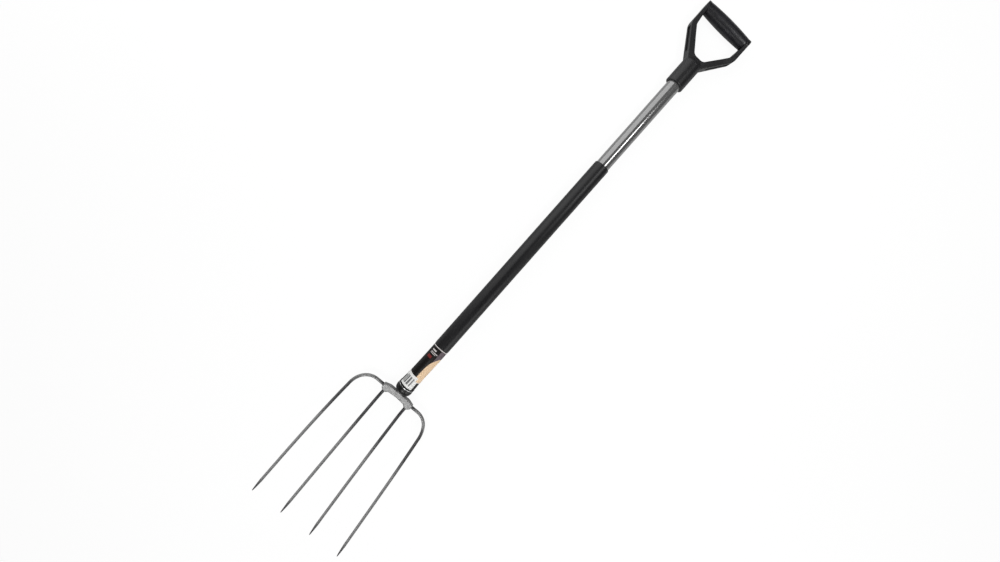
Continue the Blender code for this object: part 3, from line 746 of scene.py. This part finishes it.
@dataclass(frozen=True)
class Shaft(Part):
    """The tube, its long sleeve, and the sheath, label and rings of the neck."""

    tube_radius: float = 0.0138
    tube_wall: float = 0.0015
    tube_in_socket: float = 0.044
    sleeve_start: float = 0.0043
    sleeve_length: float = 0.4600
    sleeve_radius: float = 0.0157
    sleeve_lip: Span = (0.0040, 0.0002)
    sleeve_edge: float = 0.0009
    collar_standoff: float = 0.0136
    collar_length: float = 0.0130
    collar_top_radius: float = 0.0168
    collar_radius: float = 0.01728
    collar_foot_radius: float = 0.0131
    collar_shoulder: float = 0.0045
    collar_floor: float = 0.0045
    collar_edge: float = 0.0006
    collar_steps: int = 14
    band_length: float = 0.0017
    band_radius: float = 0.0165
    seal_length: float = 0.0024
    seal_radius: float = 0.0170
    ring_crown: float = 0.00012
    ring_edge_share: float = 0.12
    sheath_radius: float = 0.0146
    sheath_edge: float = 0.0004
    flare_radius: float = 0.0165
    flare_length: float = 0.0300
    label_thickness: float = 0.0003
    label_top_margin: float = 0.0006
    label_foot_margin: float = 0.0010
    label_columns: int = 108
    label_rows: int = 60
    tongue_length: float = 0.0185
    tongue_arc: float = math.radians(100)
    tongue_centre: float = math.radians(-14)
    tongue_slack: float = 0.2

    @property
    def bore(self) -> float:
        """Inner radius of everything that slips over the tube."""
        return self.tube_radius + self.gap

    @property
    def collar_foot(self) -> float:
        """Lower end of the collar."""
        return self.line.bridge_x + self.collar_standoff

    @property
    def collar_top(self) -> float:
        """Upper end of the collar."""
        return self.collar_foot + self.collar_length

    @property
    def band_x(self) -> float:
        """Lower face of the bright band."""
        return self.collar_top + self.gap

    @property
    def seal_x(self) -> float:
        """Lower face of the seal ring."""
        return self.band_x + self.band_length + self.gap

    @property
    def sheath_x(self) -> float:
        """Lower end of the sheath."""
        return self.seal_x + self.seal_length + self.gap

    def fit(self, item: Object, finish: Finish, node: str, smooth: float = 35.0) -> None:
        """Bend a finished piece to the shaft's line and hand it over."""
        self.line.bend(item)
        hand_over(item, finish, node, smooth=smooth)

    def tube(self) -> None:
        """The painted tube, open at both ends."""
        inner = self.tube_radius - self.tube_wall
        foot = self.collar_foot + self.collar_floor + self.gap
        end = self.line.handle_x + self.tube_in_socket
        places = [foot, *self.line.stations(foot, end), end]
        rings = [(x, self.tube_radius) for x in places] + [(x, inner) for x in reversed(places)]
        self.fit(turn_on_lathe("tube", rings), METALLIC_ENAMEL, "shaft_tube")

    def sleeve(self) -> None:
        """The long sleeve, with soft lips at both ends."""
        start, end = self.sleeve_start, self.sleeve_start + self.sleeve_length
        lip, drop = self.sleeve_lip
        rings = [(start, self.bore), (start, self.sleeve_radius - drop), (start + lip, self.sleeve_radius),
                 (end - lip, self.sleeve_radius), (end, self.sleeve_radius - drop), (end, self.bore)]
        item = turn_on_lathe("sleeve", rings)
        round_edges(item, self.sleeve_edge, segments=4, angle=40.0)
        self.fit(item, EXTRUDED_SLEEVE, "grip_sleeve")

    def sheath(self) -> None:
        """The sheath round the bend, flaring to the rings."""
        end = self.sleeve_start - self.gap
        flare = self.sheath_x + self.flare_length
        places = [flare, *self.line.stations(flare, end), end]
        rings = [(self.sheath_x, self.bore), (self.sheath_x, self.flare_radius)]
        rings += [(x, self.sheath_radius) for x in places] + [(x, self.bore) for x in reversed(places)]
        item = turn_on_lathe("sheath", rings)
        round_edges(item, self.sheath_edge, segments=2)
        self.fit(item, SHRUNK_SHEATH, "lower_sheath")

    def sheath_outside(self, x: float) -> float:
        """Radius of the sheath at a place on the shaft."""
        share = min(max((x - self.sheath_x) / self.flare_length, 0.0), 1.0)
        return self.flare_radius + (self.sheath_radius - self.flare_radius) * share

    def label(self) -> None:
        """The label: a sheet rolled round the sheath, trimmed to a tongue at its foot."""
        foot = self.sheath_x + self.label_foot_margin
        length = self.sleeve_start - self.gap - self.label_top_margin - foot
        deselect_all()
        bpy.ops.mesh.primitive_grid_add(x_subdivisions=self.label_columns, y_subdivisions=self.label_rows,
                                        size=1.0, calc_uvs=True)
        item = added("label")

        # The tongue ends at a row, which is then moved to its true height
        tongue_share = round(self.label_rows * self.tongue_length / length) / self.label_rows
        self.trim_beside_tongue(item, tongue_share)
        for vertex in item.data.vertices:
            share = vertex.co.y + 0.5
            x = foot + length * share
            if share < tongue_share + TINY:
                x = foot + self.tongue_length * share / tongue_share
            angle = 2 * math.pi * vertex.co.x
            radius = self.sheath_outside(x) + self.gap
            vertex.co = (x, -math.sin(angle) * radius, math.cos(angle) * radius)
        close_skin(item, 10 * TINY)
        apply_modifier(item, "SOLIDIFY", thickness=self.label_thickness, offset=1.0)
        self.fit(item, LABEL_PRINT, "label_wrap", smooth=50.0)

    def trim_beside_tongue(self, item: Object, tongue_share: float) -> None:
        """Cut the flat sheet away on both sides of the tongue.

        Args:
            item: The sheet, one unit wide and long.
            tongue_share: The tongue's share of its length.
        """
        centre = self.tongue_centre / (2 * math.pi)
        half = self.tongue_arc / (4 * math.pi) + self.tongue_slack / self.label_columns
        open_all(item)
        bpy.ops.mesh.select_all(action="DESELECT")
        sheet = bmesh.from_edit_mesh(item.data)
        for face in sheet.faces:
            spot = face.calc_center_median()
            face.select = spot.y + 0.5 < tongue_share and abs(spot.x - centre) > half
        bmesh.update_edit_mesh(item.data)
        bpy.ops.mesh.delete(type="FACE")
        bpy.ops.object.mode_set(mode="OBJECT")

    def rings(self) -> None:
        """The seal ring and the bright band above the collar, crowned across their width."""
        for name, node, start, length, radius, finish in (
                ("seal", "seal_ring", self.seal_x, self.seal_length, self.seal_radius, SEAL_RUBBER),
                ("band", "steel_band", self.band_x, self.band_length, self.band_radius, BRIGHT_BAND)):
            low, end = radius - self.ring_crown, start + length
            item = turn_on_lathe(name, [(start, self.bore), (start, low), (start + length * 0.5, radius),
                                        (end, low), (end, self.bore)])
            round_edges(item, length * self.ring_edge_share)
            self.fit(item, finish, node, smooth=60.0)

    def collar(self) -> None:
        """The rounded rubber boot round the tang."""
        hole = self.tang_radius + self.gap
        widest = self.collar_top - self.collar_shoulder
        fall = widest - self.collar_foot
        swell = self.collar_radius - self.collar_foot_radius
        floor = self.collar_foot + self.collar_floor
        rings = [(floor, self.bore), (floor, hole), (self.collar_foot, hole)]
        rings += arc((widest, self.collar_foot_radius), (fall, swell), -math.pi / 2, 0, self.collar_steps)
        rings += [(self.collar_top, self.collar_top_radius), (self.collar_top, self.bore)]
        item = turn_on_lathe("boot", rings)
        round_edges(item, self.collar_edge, angle=45.0)
        self.fit(item, BOOT_RUBBER, "collar", smooth=50.0)

    def build(self) -> None:
        """Make every piece of the shaft."""
        self.tube()
        self.sleeve()
        self.sheath()
        self.label()
        self.rings()
        self.collar()


# The head

@dataclass(frozen=True)
class Dish:
    """The swept surface that all four tines lie in."""

    length: float = 0.2800
    flat: float = 0.0076
    heel_length: float = 0.0300
    heel_angle: float = math.radians(38.3)
    tip_angle: float = math.radians(49.3)

    def point(self, along: float, across: float) -> Vector:
        """Find a point of the surface.

        Args:
            along: Length from the bridge along the surface.
            across: Distance from the fork's middle.

        Returns:
            The point, in the frame of the bridge.
        """
        heel_radius = self.heel_length / self.heel_angle
        sweep_radius = (self.length - self.flat - self.heel_length) / (self.tip_angle - self.heel_angle)
        turn = min(max(along - self.flat, 0.0), self.heel_length) / heel_radius
        angle = self.heel_angle + max(along - self.flat - self.heel_length, 0.0) / sweep_radius
        x = min(along, self.flat) + heel_radius * math.sin(turn)
        x += sweep_radius * (math.sin(angle) - math.sin(self.heel_angle))
        z = heel_radius * (1 - math.cos(turn))
        z += sweep_radius * (math.cos(self.heel_angle) - math.cos(angle))
        return Vector((-x, across, z))


@dataclass(frozen=True)
class Tine:
    """One round tine: an even taper, then a drawn point."""

    row: Row
    side: Side
    dish: Dish = Dish()
    root_radius: float = 0.0032
    neck_radius: float = 0.0025
    tip_radius: float = 0.0006
    taper_power: float = 1.3
    point_length: float = 0.0200
    point_power: float = 0.7
    inner_y: Span = (0.0270, 0.0310)
    inner_start: float = 0.0045
    outer_start: float = 0.0264
    shoulder_y: float = 0.0868
    shoulder_width: float = 0.0360
    shoulder_length: float = 0.0430
    shoulder_steps: int = 32
    outer_tip_y: float = 0.0916
    spread_power: float = 3.0
    step: float = 0.0022
    bar_resolution: int = 10

    def radius(self, along: float) -> float:
        """Find the bar's radius.

        Args:
            along: Length along the tine.

        Returns:
            The radius there.
        """
        point_start = self.dish.length - self.point_length
        if along <= point_start:
            share = max(along, 0.0) / point_start
            return self.root_radius + (self.neck_radius - self.root_radius) * share ** self.taper_power
        share = min((along - point_start) / self.point_length, 1.0)
        return self.tip_radius + (self.neck_radius - self.tip_radius) * (1 - share) ** self.point_power

    def places(self, start: float, end: float) -> list[float]:
        """Even places between two lengths."""
        return spaced(start, end, max(2, math.ceil((end - start) / self.step)))

    def plan(self) -> list[Span]:
        """Lay the tine's route over the dish, on the left hand.

        Returns:
            The route's points, as (along, across).
        """
        if self.row is Row.INNER:
            root, tip = self.inner_y
            return [(along, root + (tip - root) * along / self.dish.length)
                    for along in self.places(self.inner_start, self.dish.length)]
        turn_start = self.shoulder_y - self.shoulder_width
        route = [(0.0, y) for y in self.places(self.outer_start, turn_start)]
        route += arc((self.shoulder_length, turn_start), (self.shoulder_length, self.shoulder_width),
                     -math.pi / 2, 0, self.shoulder_steps)[1:]
        for along in self.places(self.shoulder_length, self.dish.length)[1:]:
            share = (along - self.shoulder_length) / (self.dish.length - self.shoulder_length)
            spread = (self.outer_tip_y - self.shoulder_y) * (1 - (1 - share) ** self.spread_power)
            route.append((along, self.shoulder_y + spread))
        return route

    def build(self, head: Matrix) -> None:
        """Draw the bar along its route and make it a mesh.

        Args:
            head: From the frame of the bridge to the fork's.
        """
        name = f"{self.row.value}_tine_{self.side.name.lower()}"
        curve = bpy.data.curves.new(f"{name}_bar", "CURVE")
        curve.dimensions = "3D"
        curve.bevel_depth = self.root_radius
        curve.bevel_resolution = self.bar_resolution
        curve.use_fill_caps = True
        spline = curve.splines.new("POLY")
        plan = self.plan()
        spline.points.add(len(plan) - 1)
        for point, (along, across) in zip(spline.points, plan):
            point.co = (*self.dish.point(along, across * self.side.value), 1.0)
            point.radius = self.radius(along) / self.root_radius
        item = bpy.data.objects.new(f"{name}_bar", curve)
        bpy.context.collection.objects.link(item)
        take(item)
        bpy.ops.object.convert(target="MESH")
        item = bpy.context.object
        item.data.transform(head)
        close_skin(item)
        hand_over(item, TINE_LACQUER, name, smooth=50.0)


@dataclass(frozen=True)
class Head(Part):
    """The forged bridge with its tang, and the four tines."""

    thickness: float = 0.0100
    top: float = 0.0085
    shoulder_y: float = 0.0228
    end_y: float = 0.0356
    end_half: float = 0.0044
    arch: float = 0.0036
    arch_drop: float = 0.0015
    arch_y: float = 0.0190
    edge: float = 0.0011
    soft_edge: float = 0.0026
    fillet: float = 0.0050
    fillet_steps: int = 6
    gusset_drop: float = 0.0092
    gusset_half: float = 0.0041
    gusset_y: float = 0.0270
    outer_seat_depth: float = 0.0095
    inner_seat_depth: float = 0.0050
    tang_end: float = 0.0836
    tang_point: float = 0.0060
    neck_radius: float = 0.0048
    neck_taper: float = 0.0034
    skin: tuple[float, int, float] = (0.00042, 30, 0.7)

    def outline(self) -> list[Vector]:
        """Draw the front of the bridge, with its gussets and the arch between them.

        Returns:
            The outline's points.
        """
        return filleted(both_halves([
            (self.top, self.shoulder_y, self.fillet), (self.end_half, self.end_y, self.edge),
            (-self.end_half, self.end_y, self.edge),
            (-self.gusset_drop, self.gusset_y + self.gusset_half, self.edge),
            (-self.gusset_drop, self.gusset_y - self.gusset_half, self.edge),
            (-self.arch - self.arch_drop, self.arch_y, self.fillet), (-self.arch, 0, 0)]), self.fillet_steps)

    def bridge(self) -> None:
        """The bridge and tang, forged in one, with seats for the tines."""
        item = cut_plate("bridge", self.outline(), self.thickness / 2)
        round_edges(item, self.soft_edge, segments=5, angle=50.0)
        foot = self.top - self.edge
        tang = turn_on_lathe("tang blank", [
            (0, 0), (0, self.neck_radius), (foot, self.neck_radius),
            (foot + self.neck_taper, self.tang_radius), (self.tang_end - self.tang_point, self.tang_radius),
            (self.tang_end, self.tang_radius / 2), (self.tang_end, 0)], SMALL_ROUND)
        join_or_cut(item, tang, "UNION")
        seat = Tine.root_radius + self.gap
        for side in Side:
            y, end = side.value * self.gusset_y, side.value * self.end_y
            drill(item, seat, (-self.gusset_drop * 2, y, 0),
                  (self.inner_seat_depth - self.gusset_drop, y, 0), SMALL_ROUND)
            drill(item, seat, (0, end * 2, 0), (0, end - side.value * self.outer_seat_depth, 0), SMALL_ROUND)
        mould(item, *self.skin)
        item.data.transform(self.line.head())
        hand_over(item, FORGED_LACQUER, "bridge_tang", smooth=180.0)

    def build(self) -> None:
        """Make the bridge and the tines."""
        self.bridge()
        for side in Side:
            for row in Row:
                Tine(row, side).build(self.line.head())


# The D handle

@dataclass(frozen=True)
class DHandle(Part):
    """The moulded yoke, its barrel grip, the pin through it and the screw in the socket's back."""

    socket_radius: float = 0.0184
    socket_edge: float = 0.0006
    socket_length: float = 0.0500
    dome_steps: int = 16
    bore_radius: float = 0.0141
    bore_depth: float = 0.0460
    crotch: Triple = (0.0633, 0.0108, 0.0110)
    hub: Span = (0.0440, 0.0110)
    arm_start: float = 0.0535
    arm_start_fillet: float = 0.0040
    arm_corner_x: float = 0.1050
    arm_corner_fillet: float = 0.0220
    inner_corner: Triple = (0.1084, 0.0450, 0.0100)
    fillet_steps: int = 14
    hub_depth: float = 0.0122
    middle_depth: float = 0.0105
    middle_x: float = 0.0950
    arm_edge: float = 0.0018
    grip_x: float = 0.1488
    grip_width: float = 0.1108
    lug_thickness: float = 0.0065
    lug_radius: float = 0.0128
    lug_arc: Span = (math.radians(-18), math.radians(90))
    lug_steps: int = 30
    barrel_end_radius: float = 0.0127
    barrel_middle_radius: float = 0.0145
    barrel_edge: float = 0.0009
    barrel_steps: int = 24
    pin_radius: float = 0.0040
    pin_recess: float = 0.0008
    pin_chamfer: float = 0.0007
    pin_end_share: float = 0.6
    pin_edge: float = 0.0003
    channel_x: Span = (0.0640, 0.1010)
    channel_depth: float = 0.0042
    channel_half: float = 0.0058
    channel_fillet: float = 0.0015
    channel_steps: int = 4
    screw_x: float = 0.0240
    screw_head_radius: float = 0.0040
    screw_head_height: float = 0.0021
    screw_crown: tuple[Span, ...] = ((0, 0.45), (0.12, 0.75), (0.4, 0.95), (0.7, 1.0), (1.0, 1.0))
    screw_radius: float = 0.0020
    screw_recess: float = 0.0026
    screw_tip: float = 0.0088
    cross: Triple = (0.0022, 0.0040, 0.0009)
    skin: tuple[float, int, float] = (0.00050, 2, 0.55)

    @property
    def half_width(self) -> float:
        """Half the width over the lugs."""
        return self.grip_width / 2

    def front(self) -> list[Vector]:
        """Draw the front of the arms, from the hub in the socket to the lugs.

        Returns:
            The outline's points.
        """
        start, end = self.grip_x - self.lug_radius, self.grip_x + self.lug_radius
        inside = self.half_width - self.lug_thickness
        return filleted(both_halves([
            (*self.hub, 0), (self.arm_start, self.socket_radius, self.arm_start_fillet),
            (self.arm_corner_x, self.half_width, self.arm_corner_fillet), (end, self.half_width, 0),
            (end, inside, 0), (start, inside, 0), self.inner_corner, self.crotch]), self.fillet_steps)

    def flank(self) -> list[Vector]:
        """Draw the side of the arms: slim in the middle, round at the lugs.

        Returns:
            The outline's points, as (x, z).
        """
        shoulder = (self.middle_depth + self.lug_radius) / 2
        upper = [(self.hub[0], self.hub_depth), (self.crotch[0], self.hub_depth),
                 (self.middle_x, self.middle_depth), (self.grip_x - self.lug_radius, shoulder)]
        upper += arc((self.grip_x, 0.0), (self.lug_radius, self.lug_radius), *self.lug_arc, self.lug_steps)
        return [Vector(point) for point in upper + [(x, -z) for x, z in reversed(upper) if z > TINY]]

    def channel(self, side: Side) -> Object:
        """Make the cutter for the recess along an arm's outer flank.

        Args:
            side: The arm's side.

        Returns:
            The cutter.
        """
        slope = (self.half_width - self.socket_radius) / (self.arm_corner_x - self.arm_start)
        away = Vector((-slope, 1)).normalized()
        near, far = self.channel_x
        floor, clear = (self.channel_depth, self.channel_fillet), (-self.channel_depth * 2, 0.0)
        corners = []
        for x, (depth, radius) in ((near, floor), (far, floor), (far, clear), (near, clear)):
            spot = Vector((x, self.socket_radius + slope * (x - self.arm_start))) - away * depth
            corners.append((spot.x, side.value * spot.y, radius))
        return cut_plate("channel cutter", filleted(corners, self.channel_steps), self.channel_half)

    def yoke(self) -> None:
        """The socket, the arms and the lugs, moulded in one."""
        reach = self.grip_width
        item = cut_plate("yoke", self.front(), self.socket_radius)
        arms = cut_plate("arm side", self.flank(), reach)
        arms.data.transform(Matrix.Rotation(math.pi / 2, 4, "X"))
        join_or_cut(item, arms, "INTERSECT")
        round_edges(item, self.arm_edge, angle=50.0)
        dome = self.crotch[0] - self.socket_length
        rings = [(0, 0), (0, self.socket_radius - self.socket_edge), (self.socket_edge, self.socket_radius)]
        rings += arc((self.socket_length, 0.0), (dome, self.socket_radius), 0, math.pi / 2, self.dome_steps)
        join_or_cut(item, turn_on_lathe("socket blank", rings), "UNION")
        for side in Side:
            join_or_cut(item, self.channel(side))
        drill(item, self.bore_radius, (-self.socket_radius, 0, 0), (self.bore_depth, 0, 0))
        drill(item, self.pin_radius + self.gap, (self.grip_x, -reach, 0), (self.grip_x, reach, 0))
        below, seat = -self.socket_radius * 2, self.screw_recess - self.socket_radius
        for radius, end in ((self.screw_head_radius, seat), (self.screw_radius, 0)):
            drill(item, radius + self.gap, (self.screw_x, 0, below), (self.screw_x, 0, end))
        mould(item, *self.skin)
        item.data.transform(self.line.handle())
        hand_over(item, MOULDED_POLYPROPYLENE, "d_handle_yoke", smooth=180.0)

    def lay_across(self, item: Object) -> None:
        """Carry a piece turned about X to the grip's axis."""
        turn = Matrix.Rotation(math.pi / 2, 4, "Z")
        item.data.transform(self.line.handle() @ Matrix.Translation((self.grip_x, 0, 0)) @ turn)

    def barrel(self) -> None:
        """The crowned barrel, bored for its pin."""
        half = self.half_width - self.lug_thickness - self.gap
        bore = self.pin_radius + self.gap
        crown = self.barrel_middle_radius - self.barrel_end_radius
        rings = [(-half, bore)]
        rings += [(half * out, self.barrel_end_radius + crown * (1 - out * out))
                  for out in spaced(-1.0, 1.0, self.barrel_steps)]
        item = turn_on_lathe("grip", [*rings, (half, bore)])
        round_edges(item, self.barrel_edge)
        self.lay_across(item)
        hand_over(item, SATIN_GRIP, "grip_barrel", smooth=50.0)

    def pin(self) -> None:
        """The steel pin, with rounded ends that sit just inside the lugs."""
        half = self.half_width - self.pin_recess
        shank, tip = half - self.pin_chamfer, self.pin_radius * self.pin_end_share
        item = turn_on_lathe("pin", [(-half, 0), (-half, tip), (-shank, self.pin_radius),
                                     (shank, self.pin_radius), (half, tip), (half, 0)], SMALL_ROUND)
        round_edges(item, self.pin_edge, segments=2, angle=25.0)
        self.lay_across(item)
        hand_over(item, ZINC_PLATE, "grip_pin", smooth=40.0)

    def screw(self) -> None:
        """The pan-head screw in the socket's back, with a cross recess."""
        radius, height = self.screw_head_radius, self.screw_head_height
        under = self.socket_radius - self.screw_recess + self.gap
        end = height + under - self.screw_tip
        rings = [(0, 0), *((height * rise, radius * share) for rise, share in self.screw_crown),
                 (height, self.screw_radius), (end, self.screw_radius), (end, 0)]
        item = turn_on_lathe("screw", rings, SMALL_ROUND)
        depth, length, width = self.cross
        for size in ((depth, length, width), (depth, width, length)):
            deselect_all()
            bpy.ops.mesh.primitive_cube_add(size=1.0, scale=size, location=(0, 0, 0))
            join_or_cut(item, bpy.context.object)
        turn = Matrix.Rotation(-math.pi / 2, 4, "Y")
        place = Matrix.Translation((self.screw_x, 0, -under - height))
        item.data.transform(self.line.handle() @ place @ turn)
        hand_over(item, ZINC_PLATE, "handle_screw", smooth=40.0)

    def build(self) -> None:
        """Make every piece of the handle."""
        self.yoke()
        self.barrel()
        self.pin()
        self.screw()


# The studio

@dataclass(frozen=True)
class SoftBox:
    """A rectangular lamp."""

    name: str
    place: Triple
    target: Triple
    size: Span
    power: float
    spread: float = math.pi

    def build(self) -> None:
        """Hang the lamp with its long side along X."""
        lamp = bpy.data.lights.new(self.name, "AREA")
        lamp.shape = "RECTANGLE"
        lamp.spread = self.spread
        lamp.size, lamp.size_y = self.size
        lamp.energy = self.power
        item = bpy.data.objects.new(self.name, lamp)
        bpy.context.scene.collection.objects.link(item)
        back = (Vector(self.place) - Vector(self.target)).normalized()
        side = (Vector((1, 0, 0)) - back * back.x).normalized()
        item.matrix_world = Matrix.Translation(self.place) @ Matrix(
            (side, back.cross(side), back)).transposed().to_4x4()


@dataclass(frozen=True)
class Studio:
    """White floor, soft lamps and the camera of the photograph."""

    line: ShaftLine
    floor_size: float = 14.0
    floor_colour: str = "C8C8C8"
    shown_share: float = 0.85
    shown_level: float = 1.10
    mirrored_share: float = 0.2
    ambient: float = 0.20
    ceiling: float = 0.06
    wall_top: float = 0.12
    sensor: float = 36.0
    lens: float = 19.44
    clip_start: float = 0.01
    distance: float = 1.026
    aim_x: float = 0.1730
    aim_aside: float = -0.0008
    lean: float = math.radians(6.0)
    shaft_in_picture: Span = (0.6627, 0.7488)
    lamps: tuple[SoftBox, ...] = (
        SoftBox("strip", (0.57, -0.42, 0.93), (0.40, 0.0, 0.03), (0.34, 0.20), 2.7),
        SoftBox("left_panel", (0.62, 1.04, 0.74), (0.62, 0.0, 0.03), (1.60, 1.65), 12.9),
        SoftBox("right_panel", (-0.55, -1.10, 0.66), (-0.25, 0.0, 0.03), (1.10, 0.70), 4.8),
        SoftBox("head_panel", (-1.25, -0.10, 1.20), (-0.38, 0.0, 0.03), (0.80, 0.80), 1.05,
                math.radians(60)),
        SoftBox("grip_panel", (0.66, -0.12, 0.95), (0.585, 0.0, 0.03), (0.10, 0.40), 0.014,
                math.radians(30)),
        SoftBox("far_panel", (1.20, -0.12, 1.00), (0.56, 0.0, 0.03), (0.45, 0.50), 0.30),
    )

    def floor(self) -> None:
        """The floor, which shows white but keeps the fork's shadow."""
        deselect_all()
        bpy.ops.mesh.primitive_plane_add(size=self.floor_size, location=(0, 0, 0))
        item = added("studio_floor")
        paper = bpy.data.materials.new("white_paper_sweep")
        paper.use_nodes = True
        tree = paper.node_tree
        tree.nodes.remove(tree.nodes["Principled BSDF"])
        lit = add_node(tree, "BsdfDiffuse", {"Color": srgb(self.floor_colour)})
        white = add_node(tree, "Emission", {"Color": WHITE, "Strength": self.shown_level})
        eye = add_node(tree, "LightPath", out="Is Camera Ray")
        glossy = add_node(tree, "Math", {0: eye.node.outputs["Is Glossy Ray"], 1: self.mirrored_share},
                          operation="MULTIPLY")
        seen = add_node(tree, "Math", {0: eye, 1: glossy}, operation="MAXIMUM")
        share = add_node(tree, "Math", {0: seen, 1: self.shown_share}, operation="MULTIPLY")
        both = add_node(tree, "MixShader", {0: share, 1: lit, 2: white})
        tree.links.new(both, tree.nodes["Material Output"].inputs["Surface"])
        item.data.materials.append(paper)

    def surroundings(self) -> None:
        """A white room, mirrored as white low walls under a dim ceiling above the lamps."""
        world = bpy.data.worlds.new("studio_room")
        bpy.context.scene.world = world
        world.use_nodes = True
        tree = world.node_tree
        way = add_node(tree, "SeparateXYZ", {"Vector": add_node(tree, "TexCoord")}, out="Z")
        mirrored = add_node(tree, "MapRange", {"Value": way, "From Max": self.wall_top, "To Min": 1.0,
                                               "To Max": self.ceiling})
        eye = add_node(tree, "LightPath", out="Is Camera Ray")
        level = add_node(tree, "MapRange", {"Value": eye.node.outputs["Is Glossy Ray"],
                                            "To Min": self.ambient, "To Max": mirrored})
        strength = add_node(tree, "Math", {0: level, 1: eye}, operation="MAXIMUM")
        room = tree.nodes["Background"]
        room.inputs["Color"].default_value = WHITE
        tree.links.new(strength, room.inputs["Strength"])

    def camera(self) -> None:
        """The camera, square to the shaft, with the shaft lying across the picture as photographed."""
        data = bpy.data.cameras.new("camera")
        data.sensor_width = self.sensor
        data.lens = self.lens
        data.clip_start = self.clip_start
        item = bpy.data.objects.new("camera", data)
        bpy.context.scene.collection.objects.link(item)
        along = Vector((1, 0, 0))
        back = Vector((0, math.sin(self.lean), math.cos(self.lean)))
        aside = Vector((0, -math.cos(self.lean), math.sin(self.lean)))
        across, rise = self.shaft_in_picture
        right = along * across + aside * rise
        up = along * rise - aside * across
        spot = along * self.aim_x + aside * self.aim_aside + back * self.distance
        pose = Matrix((right, up, back)).transposed().to_4x4()
        item.matrix_world = self.line.world() @ Matrix.Translation(spot) @ pose
        bpy.context.scene.camera = item

    def build(self) -> None:
        """Set the stage."""
        self.floor()
        self.surroundings()
        for lamp in self.lamps:
            lamp.build()
        self.camera()
        bpy.context.scene.view_settings.view_transform = "Standard"


def dress_solid(node: str, finish: Finish) -> None:
    """Give a carried-over solid its real finish.

    Args:
        node: The solid's name.
        finish: What it is made of.
    """
    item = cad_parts[node]
    if not item.data.materials:
        item.data.materials.append(finish.material())
    for place in item.material_slots:
        place.material = finish.material()
    LOG.info("%s: solid kept, %s", node, finish.name)


def corners(box: tuple[Vector, Vector]) -> list[list[float]]:
    """A box as plain lists."""
    return [list(corner) for corner in box]


def main() -> None:
    """Build the fork and its studio."""
    logging.basicConfig(level=logging.INFO, format="%(name)s: %(message)s")
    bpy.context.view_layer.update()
    line = ShaftLine()
    Shaft(line).build()
    Head(line).build()
    DHandle(line).build()
    dress_solid("tang_bush", NATURAL_NYLON)
    dress_solid("head_pin", ZINC_PLATE)
    Studio(line).build()


if __name__ == "__main__":
    main()
